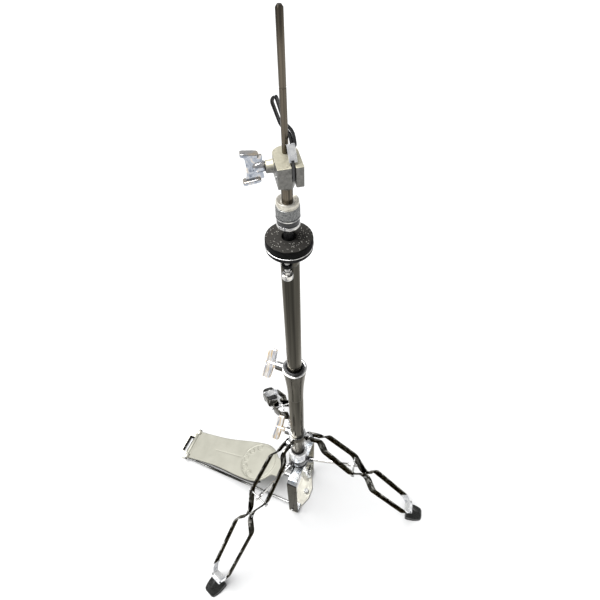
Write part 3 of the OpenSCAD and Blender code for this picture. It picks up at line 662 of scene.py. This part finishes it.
def leg_rails(n, turn):
    """Two bent strips that swing apart, pinch together and swing apart again."""
    # Radius from the tube's axis and half the gap
    kinks = [(56, 16), (114, 19.5), (137, 3.8), (148, 3.8), (163, 21.5), (246, 19), (257, 11)]
    eye = [(2.5, -1.5), (7.2, -1.5), (7.9, -0.8), (7.9, 0.8), (7.2, 1.5), (2.5, 1.5)]
    bm = bmesh.new()
    for side in (1, -1):
        corners = [Vector((leg_pivot_r, side * rail_t0, leg_pivot_z)),
                   Vector((bend_r, side * rail_t0, leg_pivot_z)), on_slope(7, side * rail_t0)]
        corners += [on_slope(along(r), side * t) for r, t in kinks]
        line = rounded(corners, 7)
        ups = []
        for point in line:
            past_bend = min(max((point.x - bend_r + 8) / 14, 0), 1)
            ups.append(turn.to_3x3() @ Vector((0, 0, 1)).lerp(slope_up, past_bend).normalized())
        swept(bm, [turn @ point for point in line], box_section(strip_t, strip_h, 0.9), ups)
        pivot = Matrix.Translation((leg_pivot_r, side * rail_t0, leg_pivot_z))
        turned(bm, eye, turn @ pivot @ quarter_turn("X"), 40)
    piece(f"leg_{n}_rails", bm, "leg_chrome", f"leg_{n}", [f"leg_{n}"])


def leg_tip(n, turn):
    """Bright end block that holds the rails together above the foot."""
    start = along(241)
    middle = along(254)
    end = along(262)
    # Distance down the slope and half width, then with half height
    cheeks = [(start, 18.8), (start + 1.5, 19.9), (along(246), 19.8), (middle, 14.6)]
    block = [(middle, 14.6, 6.6), (end - 3, 11.8, 6.3), (end, 11.2, 5.4)]
    bm = bmesh.new()
    for side in (1, -1):
        line = [turn @ on_slope(s, side * (half_w - 1.7)) for s, half_w in cheeks]
        ups = [turn.to_3x3() @ slope_up] * len(line)
        swept(bm, line, box_section(3.6, strip_h + 0.9, 1.2), ups)
    rings = [[turn @ on_slope(s, u, v) for u, v in box_section(2 * half_w, 2 * half_h, 2.0, 4)]
             for s, half_w, half_h in block]
    skin(bm, rings, caps=True)
    screw = [(0, -1), (3.2, -1), (3.2, 0.5), (2.2, 1.5), (0, 1.8)]
    head = turn @ Matrix.Translation(on_slope(along(258), 0, 6.0)) @ Matrix.Rotation(leg_fall, 4, "Y")
    turned(bm, screw, head, 24, loop=False)
    piece(f"leg_{n}_tip", bm, "white_chrome", f"leg_{n}")


def leg_foot(n, turn):
    """Rubber foot: a blunt shield with a ridge, two sloping cheeks and a lip round its sole."""
    # Radius, half width, height of the shoulders and height of the ridge
    stations = [(254.2, 14.6, 11.0, 24), (255.2, 16.6, 12.8, 26.4), (259, 17.4, 12.8, 26.8),
                (266, 17.5, 11.4, 22.5), (274, 17.2, 9.4, 16.8), (281, 15.8, 8.0, 12.4),
                (286, 14.2, 7.0, 9.8), (289.4, 12.4, 6.0, 8.0), (291, 10.2, 4.4, 6.0),
                (291.5, 8.8, 3.4, 4.4)]
    rings = []
    for r, half_w, shoulder, ridge in stations:
        lip = half_w + 0.7 if 255 < r < 291 else half_w
        rise = ridge - shoulder
        half = [(half_w - 0.8, 0.0), (half_w, 0.4), (lip, 0.9), (lip, 2.2), (half_w - 0.3, 2.8),
                (half_w - 0.5, max(shoulder - 2.2, 3.0)), (half_w - 1.1, max(shoulder - 0.7, 3.2)),
                (half_w - 2.6, shoulder), (half_w * 0.55, shoulder + rise * 0.28),
                (half_w * 0.22, shoulder + rise * 0.66), (1.2, ridge - 0.35)]
        outline = half + [(0, ridge)] + [(-t, z) for t, z in reversed(half)]
        rings.append([turn @ Vector((r, t, z)) for t, z in outline])
    bm = bmesh.new()
    skin(bm, rings, caps=True)
    # Raised collar round the leg's tip
    collar = [(255.4, 16.0, 12.6), (256.6, 10.5, 17.6), (259.5, 4.5, 24.0), (261.5, 0, 26.6)]
    up = turn.to_3x3() @ Vector((0.5, 0, 1)).normalized()
    for side in (1, -1):
        line = [turn @ Vector((r, side * t, z)) for r, t, z in collar]
        swept(bm, line, round_section(1.15, 10), [up] * len(line))
    piece(f"leg_{n}_rubber", bm, "rubber", f"leg_{n}", [f"leg_{n}_foot"], sharp=30)


def make_legs():
    for n in (1, 2, 3):
        turn = turn_z(yaw_of(joints[f"leg_{n}_fold"]["pos_m"]))
        leg_rails(n, turn)
        leg_tip(n, turn)
        leg_foot(n, turn)


# ---------- wing bolts ----------

def signed_power(value, power):
    """A power of the size of a value, with the value's sign."""
    return math.copysign(abs(value) ** power, value)


def loaf(bm, turn, size, roundness, hollow, columns=36, rows=18):
    """A box with round edges and, if wanted, a long hollow down its two broad faces."""
    rings = []
    for row in range(rows + 1):
        up = math.pi * (row / rows - 0.5)
        shrink = max(math.cos(up), 0.02) ** roundness[0]
        z = size[2] / 2 * signed_power(math.sin(up), roundness[0])
        ring = []
        for column in range(columns):
            a = TAU * column / columns
            x = signed_power(math.cos(a), roundness[1]) * shrink
            y = signed_power(math.sin(a), roundness[1]) * shrink
            y *= 1 - hollow * max(1 - (x / 0.6) ** 2, 0)
            ring.append(turn @ Vector((x * size[0] / 2, y * size[1] / 2, z)))
        rings.append(ring)
    skin(bm, rings, caps=True)


def bolt_neck(bm, turn, tip, wing_x, shank_r, end):
    """Thread, flared neck and domed hub of a wing bolt along X."""
    axis = turn @ quarter_turn("Y")
    threaded(bm, shank_r, 1.25, tip, wing_x - 5, axis)
    neck = [(shank_r - 0.6, wing_x - 7), (shank_r + 0.4, wing_x - 6), (shank_r + 0.9, wing_x - 4.4),
            (5.0, wing_x - 2.6), (5.4, wing_x), (5.3, wing_x + 4), (4.6, end - 3), (3.0, end - 0.8),
            (0, end)]
    turned(bm, neck, axis, 48, loop=False)


def two_lobes(bm, turn, x, reach, splay, size, roundness, hollow=0.0):
    """A lobe on each side of the axis, leaning out by splay degrees."""
    for side in (1, -1):
        lobe = turn @ Matrix.Translation((x, 0, side * reach))
        loaf(bm, lobe @ Matrix.Rotation(side * math.radians(splay), 4, "Y"), size, roundness, hollow)


def large_wing_bolt(name, body, turn, tip, wing_x, span, roll):
    """Two long rounded wings, hollowed down their faces, on one threaded shank."""
    turn = turn @ Matrix.Rotation(math.radians(roll), 4, "X")
    bm = bmesh.new()
    bolt_neck(bm, turn, tip, wing_x, 4, wing_x + 15)
    two_lobes(bm, turn, wing_x + 7, span / 4 + 0.4, 4, (14.5, 8.8, span / 2 - 0.6), (0.4, 0.5), 0.3)
    loaf(bm, turn @ Matrix.Translation((wing_x + 7, 0, 0)), (13, 7.2, span - 12), (0.3, 0.5), 0.12)
    piece(name + "_wings", bm, "banded_chrome", body, [body], sharp=50)


def small_wing_bolt(name, body, turn, tip, wing_x, span, roll):
    """Two flat lobes joined by a waisted web."""
    turn = turn @ Matrix.Rotation(math.radians(roll), 4, "X")
    bm = bmesh.new()
    bolt_neck(bm, turn, tip, wing_x, 3, wing_x + 9)
    half = span / 2
    two_lobes(bm, turn, wing_x + 10, half - 1.9, -7, (17.5, 11.2, 4.4), (0.45, 0.35))
    corners = [(wing_x - 2, half - 3.5), (wing_x - 1, 4), (wing_x - 1, -4), (wing_x - 2, 3.5 - half),
               (wing_x + 16, 3.0 - half), (wing_x + 14.5, 6 - half), (wing_x + 14, -2), (wing_x + 14, 2),
               (wing_x + 14.5, half - 6), (wing_x + 16, half - 3.0)]
    prism(bm, flat_line(corners, 1.6), -1.9, 1.9, turn @ quarter_turn("X"))
    piece(name + "_wings", bm, "wing_chrome", body, [body], 0.5, sharp=50)


def make_wing_bolts():
    """The two large bolts face -Y, and the small one faces away from the clutch block."""
    for name, tip, wing_x in (("height", 15.3, 34), ("leg", 13.2, 32)):
        z = joint_place(f"{name}_wing_turn").z
        turn = turn_z(-90, (0, 0, z))
        large_wing_bolt(f"{name}_clamp", f"{name}_wing_bolt", turn, tip, wing_x, 47, 50)
    clutch = joint_place("clutch_wing_turn")
    turn = turn_z(yaw_of(clutch), (0, 0, clutch.z))
    small_wing_bolt("clutch_clamp", "clutch_wing_bolt", turn, 10.6, 23, 29, 10)


# ---------- clutch ----------

rod_bore_r = 3.6
shaft_r = 5.9
flange_low = corners_of("lower_flange")[0].z
block_low = flange_low + 65
block_h = 21
clutch_turn = turn_z(yaw_of(joints["lever_swing"]["pos_m"]))
on_block = clutch_turn @ raised(block_low)


def clutch_stack():
    """Flange, pad, washer, knurled nut, bevel nut and stem of the parked clutch."""
    flange = [(rod_bore_r, 0.3), (3.9, 0), (11.4, 0), (12.3, 0.7), (12.6, 1.6), (12.6, 4.8), (12.2, 5.5),
              (shaft_r, 5.5), (shaft_r, 1.5), (rod_bore_r, 1.5)]
    clutch_ring_piece("flange", 0, flange, "bright_chrome", "lower_flange", 0.15)
    pad = [(shaft_r, 5.55), (11.9, 5.55), (12.25, 6.3), (12.3, 9), (12.2, 11.6), (11.9, 12.25),
           (shaft_r, 12.25)]
    clutch_ring_piece("pad", 0, pad, "black_nylon", "clutch_felt")
    ring = [(shaft_r, 12.3), (12.7, 12.3), (13.05, 12.7), (13.05, 13.6), (12.7, 14), (shaft_r, 14)]
    clutch_ring_piece("ring", 0, ring, "bright_chrome", "clutch_washer")
    knurled_nut(flange_low + 14)
    bevel = [(shaft_r, 0), (11.5, 0), (12.0, 0.6), (12.1, 1.4), (11.6, 1.9), (11.6, 2.4), (12.1, 2.9),
             (12.0, 5.2), (11.4, 6.3), (10.8, 6.6), (10.3, 6.3), (7.4, 3.6), (shaft_r, 3.6)]
    clutch_ring_piece("bevel_nut", 27, bevel, "nickel", "bevel_nut")
    top = block_low - 2 - flange_low
    waist = shaft_r - 0.25
    # The ring at 27.5 keeps the smooth shading of the groove off the stem's lower part
    stem = [(rod_bore_r, 1.5), (shaft_r, 1.5), (shaft_r, 27.5), (shaft_r, top - 12),
            (waist, top - 11.6), (waist, top - 11), (shaft_r, top - 10.6), (shaft_r, top - 0.6),
            (shaft_r - 0.6, top), (rod_bore_r, top)]
    clutch_ring_piece("stem", 0, stem, "rod_steel", "clutch_shaft")


def clutch_ring_piece(name, up, profile, finish, node, edges=0.0):
    """A turned piece that stands for a node of the clutch, up above the flange's lower face."""
    turned_piece(f"clutch_{name}", flange_low + up, profile, finish, "clutch_lower", [node], edges)


def knurled_nut(z0, height=13, radius=12.85, teeth=52):
    """A nut with a crossed knurl between two smooth chamfers."""
    pitch = TAU * radius / teeth
    angles = circle_angles(teeth * 8)
    rings = [[polar(shaft_r, a, z0) for a in angles]]
    rows = 44
    for row in range(rows + 1):
        z = height * row / rows
        edge = min(z, height - z)
        chamfer = max(0.9 - edge, 0)
        ring = []
        for a in angles:
            tooth = a / TAU * teeth
            up = (tooth + z / pitch) % 1
            down = (tooth - z / pitch) % 1
            groove = max(1 - 3.2 * min(up, 1 - up), 1 - 3.2 * min(down, 1 - down), 0)
            cut = 0.38 * groove if edge > 1.1 else 0.25
            ring.append(polar(radius - chamfer - cut, a, z0 + z))
        rings.append(ring)
    rings.append([polar(shaft_r, a, z0 + height) for a in angles])
    bm = bmesh.new()
    skin(bm, rings, loop=True)
    piece("clutch_knurled_nut", bm, "zinc_steel", "clutch_lower", ["knurled_nut"], sharp=70)


def clutch_body():
    """Block with a round back, a slot for the lever, a boss for the wing bolt and a collar below."""
    half = 12.25
    front = 26
    slot_left = 4.6
    slot_right = 1.0
    corners = [(0, half), (front, half), (front, slot_left), (6, slot_left), (6, slot_right),
               (front, slot_right), (front, -half), (0, -half)]
    back_steps = 28
    back = [math.pi * k / back_steps for k in range(1, back_steps)]
    outline = flat_line(corners, 1.2, closed=False)
    outline += [(-half * math.sin(a), -half * math.cos(a)) for a in back]
    bm = bmesh.new()
    prism(bm, outline, 0, block_h, on_block)
    boss = [(0, 0), (7.4, 0), (6.6, 1.0), (6.1, 2.4), (6.0, 7.0), (5.4, 7.9), (3.1, 8.0), (3.1, 4)]
    side_face = on_block @ Matrix.Translation((2, 0.5 - half, 10)) @ quarter_turn("X")
    turned(bm, boss, side_face, 48, loop=False)
    collar = [(rod_bore_r, -1), (shaft_r + 0.1, -1), (shaft_r + 0.1, -16), (6.9, -16), (7.4, -15.4),
              (9.4, -8.2), (10, -7.2), (10, -0.8), (10.6, 0.2), (rod_bore_r, 0.2)]
    turned(bm, collar, on_block)
    piece("clutch_casting", bm, "clutch_cast", "clutch_block", ["clutch_block"], 1.1)


def release_lever():
    """Pawl in the block's slot, hook and face plate above it, and the loop behind the rod."""
    pin_x = 18
    pin_z = 8
    eye_r = 5.5
    upright = on_block @ quarter_turn("X")
    pawl = [(pin_x + eye_r * math.cos(a), pin_z + eye_r * math.sin(a))
            for a in (math.radians(d) for d in range(190, 361, 10))]
    pawl += [(pin_x + 4.6, 20), (pin_x + 3, 25), (pin_x - 3, 27), (pin_x - 5.2, 24)]
    bm = bmesh.new()
    prism(bm, pawl, -4.2, -1.4, upright)
    piece("clutch_pawl", bm, "black_enamel", "release_lever", edges=0.4)
    hook = [(pin_x - 5.4, 24.2), (pin_x + 3.2, 22.4), (pin_x + 2.2, 26), (pin_x - 1.5, 29.5),
            (12.4, 34.2), (8.4, 35), (6.9, 33), (7.4, 27.5)]
    bm = bmesh.new()
    prism(bm, flat_line(hook, 1.6), -6.8, -4, upright)
    face = [(20.4, 3.2, 22.9), (19.0, 3.2, 26.5), (15.2, 3.0, 32), (12.4, 2.8, 36.5)]
    path = rounded([on_block @ Vector(p) for p in face], 2.5, 5)
    across = clutch_turn.to_3x3() @ Vector((1, 0, 0.45))
    swept(bm, path, box_section(7.6, 1.7, 0.6), [across] * len(path))
    piece("clutch_hook", bm, "white_chrome", "release_lever", ["release_lever"], 0.5)
    lever_loop()


def lever_loop():
    """Flat strip bent into a closed loop from the hook round the back of the rod."""
    route = [(8, 4.9, 30.5), (3, 5.0, 35.5), (-5, 4.4, 37.5), (-9.5, -1.5, 42.5), (-10.5, -8.5, 65.5),
             (-10.5, -4.5, 69.5), (-9.5, 2.2, 43.5), (-5, 7.6, 39), (3, 7.9, 36), (8, 7.7, 31)]
    line = [on_block @ p for p in rounded(route + route[:1], 3.5)]
    centre = sum(line, Vector()) / len(line)
    first = line[0] - centre
    quarter = line[len(line) // 4] - centre
    across = first.cross(quarter).normalized()
    bm = bmesh.new()
    swept(bm, line[:-1], box_section(1.2, 3.6, 0.45, 2), [across] * (len(line) - 1), loop=True)
    piece("clutch_loop", bm, "black_enamel", "release_lever")


# ---------- cymbal seat ----------

def cymbal_seat():
    """Felt pad with its lint, the dish below it and the dish's bright rim."""
    felt_low, felt_high = corners_of("seat_felt")
    radius = felt_high.x
    under = felt_high.z - 10
    random.seed(7)
    felt_pad(felt_low.z, felt_high.z, under, radius)
    felt_lint(felt_high.z, radius)
    low = corners_of("seat_cup")[0].z
    dish = [(8.3, low + 0.1), (19.5, low + 0.1), (23.4, low - 1.2), (25.4, low - 1.0), (26.3, low + 0.4),
            (26.4, under - 1.1), (23.9, under - 1.1), (23.4, under - 1.6), (17.5, low + 2), (8.3, low + 2)]
    turned_piece("seat_dish", 0, dish, "matte_black", "seat", ["seat_cup"], segments=120)
    rim = [(24.0, -1.2), (26.4, -1.2), (26.9, -1.0), (27.0, -0.6), (26.9, -0.25), (26.6, -0.08),
           (24.0, -0.05)]
    turned_piece("seat_rim", under, rim, "bright_chrome", "seat", segments=120)


def felt_pad(low, high, under, radius):
    """The felt, with a stem that fills the dish, a full edge and an uneven face."""
    profile = [(7.7, low + 0.2), (17, low + 0.1), (22.8, under - 1.4), (23.2, under),
               (25.3, under + 0.05), (radius - 0.35, under + 0.6)]
    profile += [(radius - 0.1 + 0.1 * math.sin(math.pi * k / 8), under + 1 + 7.2 * k / 8)
                for k in range(9)]
    profile += [(radius - 0.5, high - 0.9), (radius - 1.4, high - 0.35)]
    profile += [(radius - 2 - k * 1.35, high - 0.15 + 0.1 * math.sin(k * 0.9)) for k in range(12)]
    profile += [(8.5, high - 0.2), (7.9, high - 0.8), (7.7, high - 3)]
    bm = bmesh.new()
    turned(bm, profile, segments=180)
    for vert in bm.verts:
        r = math.hypot(vert.co.x, vert.co.y)
        if vert.co.z > under + 0.5 and r > 8.5:
            swell = 0.22 * noise.fractal(vert.co * 0.35, 1.0, 2.0, 3)
            push = Vector((0, 0, 1))
            if r > radius - 0.6:
                push = Vector((vert.co.x / r, vert.co.y / r, 0))
            vert.co += push * (swell - 0.1)
    pad = piece("seat_felt_pad", bm, "felt", "seat", ["seat_felt"])


def felt_lint(top, radius, count=105):
    """White flecks and short fibres that lie on the felt."""
    bm = bmesh.new()
    steps = 5
    for _ in range(count):
        a = random.uniform(0, TAU)
        start = polar(math.sqrt(random.uniform(0.14, 0.9)) * radius, a, top + 0.05)
        heading = random.uniform(0, TAU)
        length = random.choice((0.4, 0.5, 0.6, 0.8, 1.4, 2.4))
        bend = random.uniform(-1.2, 1.2)
        line = []
        for k in range(steps + 1):
            arch = 0.12 * math.sin(math.pi * k / steps)
            line.append(start + polar(k / steps * length, heading + bend * k / steps, arch))
        width = 0.14 if length > 1 else random.uniform(0.18, 0.46)
        swept(bm, line, round_section(width, 6), [Vector((0, 0, 1))] * len(line))
    piece("seat_felt_lint", bm, "lint", "seat")


def tilt_hub():
    """Collar on the upper tube, the lug for the tilt screw and the ridges the seat rocks on."""
    tube = corners_of("upper_tube")[1]
    tube_top = tube.z
    tube_r = tube.x
    seat_low = corners_of("seat_cup")[0].z
    collar = [(5.9, -15.8), (tube_r - 1.6, -15.8), (tube_r - 1.6, 0.05), (tube_r - 0.3, 0.05),
              (tube_r, 0.5), (tube_r, 13.4), (tube_r - 0.5, 14.2), (7.2, 16.9), (5.9, 17)]
    turned_piece("tilt_hub_ring", tube_top, collar, "dark_chrome", "upper_stage", ["tilter_hub"])
    screw = joint_place("tilt_screw_turn")
    reach = math.hypot(screw.x, screw.y)
    turn = turn_z(yaw_of(screw), (0, 0, tube_top))
    low = 10.8
    high = 15
    eye = [(3.4, low), (5.4, low), (5.8, low + 0.5), (5.8, high - 0.5), (5.4, high), (3.4, high)]
    bm = bmesh.new()
    turned(bm, eye, turn @ Matrix.Translation((reach, 0, 0)), 48)
    rectangle(bm, tube_r - 0.5, reach - 4.2, -5, 5, low + 0.1, high - 0.1, turn)
    for side in (1, -1):
        near, far = sorted((side * 6.4, side * 15))
        rectangle(bm, -2.7, 2.7, near, far, 10, seat_low - 0.3 - tube_top, turn)
    piece("tilt_hub_lug", bm, "matte_black", "upper_stage", edges=0.3)


def rectangle(bm, x0, x1, y0, y1, z0, z1, turn):
    prism(bm, [(x0, y0), (x1, y0), (x1, y1), (x0, y1)], z0, z1, turn)


def tilt_screw():
    """Fluted knob, washer, hex nut and thread of the tilt screw."""
    low, high = (corner.z for corner in corners_of("tilter_screw"))
    screw = joint_place("tilt_screw_turn")
    axis = Matrix.Translation((screw.x, screw.y, 0))
    turn = axis @ raised(low)
    # Radius, height and depth of the flutes
    knob = [(0, 0, 0), (5.2, 0, 0), (6.0, 0.5, 0), (6.5, 1.0, 0.4), (6.5, 4.0, 0.4), (6.5, 6.6, 0.4),
            (6.2, 7.2, 0), (5.2, 7.6, 0), (4.7, 7.3, 0), (0, 7.3, 0)]
    flutes = 40
    rings = [[turn @ polar(r - cut * (0.5 - 0.5 * math.cos(flutes * a)), a, z)
              for a in circle_angles(flutes * 6)] for r, z, cut in knob]
    bm = bmesh.new()
    skin(bm, rings)
    washer = [(0, 7), (4.6, 7), (4.9, 7.3), (4.9, 7.8), (4.5, 8.0), (0, 8.0)]
    turned(bm, washer, turn, 48, loop=False)
    prism(bm, round_section(4.4, 6), 8.0, 11.6, turn)
    threaded(bm, 3.0, 1.2, low + 12, high, axis)
    piece("tilt_screw_knob", bm, "bright_chrome", "tilter_screw", ["tilter_screw"], sharp=30)


# ---------- footboard ----------

# Distances along the board count from its hinge
board_slope = math.radians(18.1)
board_len = 262
ring_s = 201
ring_r = 43.2
board_w = 94
heel_half_w = 36
toe_half_w = 20
flare_len = 130
board_start = 8
board_top = 3
dimple_circle_r = 34.5
groove_start = ring_s - 128
groove_end = ring_s - 47
roll_r = 2.4


def board_half(s):
    """Half the width of the footboard at distance s from its hinge."""
    if s < ring_s:
        k = max(s - ring_s + flare_len, 0) / flare_len
        return heel_half_w + (board_w / 2 - heel_half_w) * (0.5 - 0.5 * math.cos(math.pi * k))
    d = s - ring_s
    gap = math.sqrt(max(board_w ** 2 / 4 - d * d, 36)) - toe_half_w
    return toe_half_w + (gap + math.sqrt(gap * gap + 0.04 * d * d)) / 2


def bell(offset, width):
    """A smooth bump that falls to nothing at width on either side."""
    return 0.5 + 0.5 * math.cos(math.pi * offset / width) if abs(offset) < width else 0.0


def step(value, low, high):
    """0 below low, 1 above high and smooth between them."""
    k = min(max((value - low) / (high - low), 0.0), 1.0)
    return k * k * (3 - 2 * k)


def board_height(x, s, edge):
    """Height of the tread above its plain surface: ring, dimples, groove and rolled edge."""
    from_ring = math.hypot(x, s - ring_s) - ring_r
    height = 0.8 * bell(from_ring - 0.5, 1.5) - 0.5 * bell(from_ring + 1.9, 1.3)
    for angle in range(-72, 73, 36):
        a = math.radians(angle)
        off = math.hypot(x - dimple_circle_r * math.sin(a), s - ring_s + dimple_circle_r * math.cos(a))
        height -= 0.3 * (1 - step(off, 4.0, 5.0)) + 1.0 * bell(off - 5.8, 1.2)
        height += 0.4 * bell(off - 7.6, 1.1)
    if groove_start < s < groove_end:
        ends = step(s, groove_start, groove_start + 4) * (1 - step(s, groove_end - 4, groove_end))
        height -= 0.6 * bell(x, 2.0) * ends
    if edge < roll_r:
        height -= roll_r - math.sqrt(max(roll_r ** 2 - (roll_r - max(edge, 0)) ** 2, 0))
    return height


def footboard():
    """Tread with its relief, rolled edge, closed underside, hinge knuckle and heel bar."""
    turn = Matrix.Translation(joint_place("pedal_press")) @ Matrix.Rotation(board_slope, 4, "X")
    rows = 290
    columns = 116
    lines = [board_start + (board_len - board_start) * i / rows for i in range(rows + 1)]
    grid = []
    for s in lines:
        half = board_half(s)
        row = []
        for j in range(columns + 1):
            x = half * signed_power(2 * j / columns - 1, 0.94)
            edge = min(half - abs(x), s - board_start, board_len - s)
            row.append(turn @ Vector((x, s, board_top + board_height(x, s, edge))))
        grid.append(row)
    bm = bmesh.new()
    skin(bm, grid, wrap=False)
    # The rolled edge goes on down and back under the plate
    rims = []
    for inset, drop in ((0, roll_r), (0.4, 3.4), (3, 4)):
        rims.append([[turn @ Vector((side * (board_half(s) - inset), s, board_top - drop))
                      for s in lines] for side in (-1, 1)])
    for side in (0, 1):
        skin(bm, [rim[side] for rim in rims], wrap=False)
    skin(bm, list(zip(*rims[-1])), wrap=False)
    for end in (0, -1):
        points = [rim[0][end] for rim in rims] + [rim[1][end] for rim in reversed(rims)]
        points += grid[end][-2:0:-1]
        bm.faces.new([bm.verts.new(p) for p in points])
    knuckle = [(2.6, 0), (5.1, 0), (5.5, 0.4), (5.5, 53.6), (5.1, 54), (2.6, 54)]
    turned(bm, knuckle, turn @ Matrix.Translation((-27, 0, 0)) @ quarter_turn("Y"), 48)
    rectangle(bm, -27, 27, -1, 11, board_top - 3.6, board_top - 0.3, turn)
    piece("pedal_tread", bm, "cast_board", "footboard", ["footboard"], sharp=46)
    board_flanges(turn)


def board_flanges(turn):
    """Flanges below both edges of the tread, deeper towards the ring, black as painted shade."""
    start = 40
    steps = 120
    bm = bmesh.new()
    for side in (1, -1):
        rings = []
        for i in range(steps + 1):
            s = start + (board_len - 2 * start) * i / steps
            half = board_half(s)
            top = board_top - 2.6
            low = board_top - 4.9 - 7.5 * step(s, 35, 120)
            section = [(half - 0.1, top), (half, top - 0.6), (half, low + 0.7), (half - 0.5, low),
                       (half - 2.6, low), (half - 3.0, low + 0.5), (half - 3.0, top)]
            rings.append([turn @ Vector((side * x, s, z)) for x, z in section])
        skin(bm, rings, caps=True)
    # Painted shade: black flanges where the tread's edges lie in shadow
    piece("pedal_flanges", bm, "matte_black", "footboard", sharp=40)


def heel_details():
    """A black frame as painted shade on the walls of the window in the heel plate, and round ends on its pin."""
    # Painted shade: a black frame round the inside of the heel plate's window
    window = [(19.95, -303), (-19.95, -303), (-19.95, -315), (19.95, -315)]
    path = rounded([(x, y, 2.7) for x, y in window], 1.2, 4)
    bm = bmesh.new()
    swept(bm, path, box_section(4.0, 5.4, 0.4), [Vector((0, 0, 1))] * len(path))
    piece("heel_window_shade", bm, "matte_black", "base")
    hinge = joint_place("pedal_press")
    dome = [(0, 0), (4.2, 0), (4.4, 0.5), (4.2, 1.5), (3.2, 2.3), (0, 2.6)]
    bm = bmesh.new()
    for side in (1, -1):
        end = Matrix.Translation((side * 38.2, hinge.y, hinge.z)) @ quarter_turn("Y", side)
        turned(bm, dome, end, 32, loop=False)
    piece("heel_pin_caps", bm, "black_enamel", "base")


def clamp_rim():
    """Bright rolled rim of the upper clamp, the black seal below it and its bushing's domed face."""
    top = corners_of("clamp_collar")[1].z
    rim = [(15.1, -1.5), (15.1, -0.4), (15.9, 0.3), (17.4, 0.5), (18.5, 0.1), (19.0, -0.9),
           (18.9, -2.2), (18.2, -3.0), (17.4, -3.0)]
    turned_piece("clamp_rim", top, rim, "bright_chrome", "base", segments=120)
    seal = [(17.6, -4.6), (18.55, -4.6), (18.75, -4.2), (18.75, -3.5), (18.5, -3.1), (17.6, -3.1)]
    bm = bmesh.new()
    turned(bm, seal, raised(top))
    bushing_top = corners_of("tube_bushing")[1].z
    face = [(11.3, -2), (11.5, 0.2), (12.4, 0.7), (13.6, 0.55), (14.4, 0.1), (15.0, -0.9), (15.0, -2)]
    turned(bm, face, raised(bushing_top))
    piece("clamp_seal", bm, "black_nylon", "base")


make_legs()
make_wing_bolts()
clutch_stack()
clutch_body()
release_lever()
cymbal_seat()
tilt_hub()
tilt_screw()
footboard()
heel_details()
clamp_rim()


# ---------- stage ----------

def make_stage():
    """A pale floor, an even pale sky and one broad soft sun."""
    mesh = bpy.data.meshes.new("floor")
    half = 14
    mesh.from_pydata([(-half, -half, 0), (half, -half, 0), (half, half, 0), (-half, half, 0)], [],
                     [(0, 1, 2, 3)])
    floor = bpy.data.objects.new("floor", mesh)
    mesh.materials.append(finishes["floor_paint"])
    bpy.context.scene.collection.objects.link(floor)
    world = bpy.data.worlds.new("studio")
    bpy.context.scene.world = world
    world.use_nodes = True
    back = world.node_tree.nodes["Background"]
    back.inputs["Color"].default_value = (0.98, 0.99, 1.0, 1)
    back.inputs["Strength"].default_value = 0.4
    data = bpy.data.lights.new("sun", "SUN")
    data.energy = 4.3
    data.angle = math.radians(50)
    sun = bpy.data.objects.new("sun", data)
    towards = Vector((0.1, -0.42, 1.0))
    sun.rotation_euler = towards.to_track_quat("Z", "Y").to_euler()
    bpy.context.scene.collection.objects.link(sun)
    bpy.context.scene.view_settings.view_transform = "Standard"


make_camera()
make_stage()
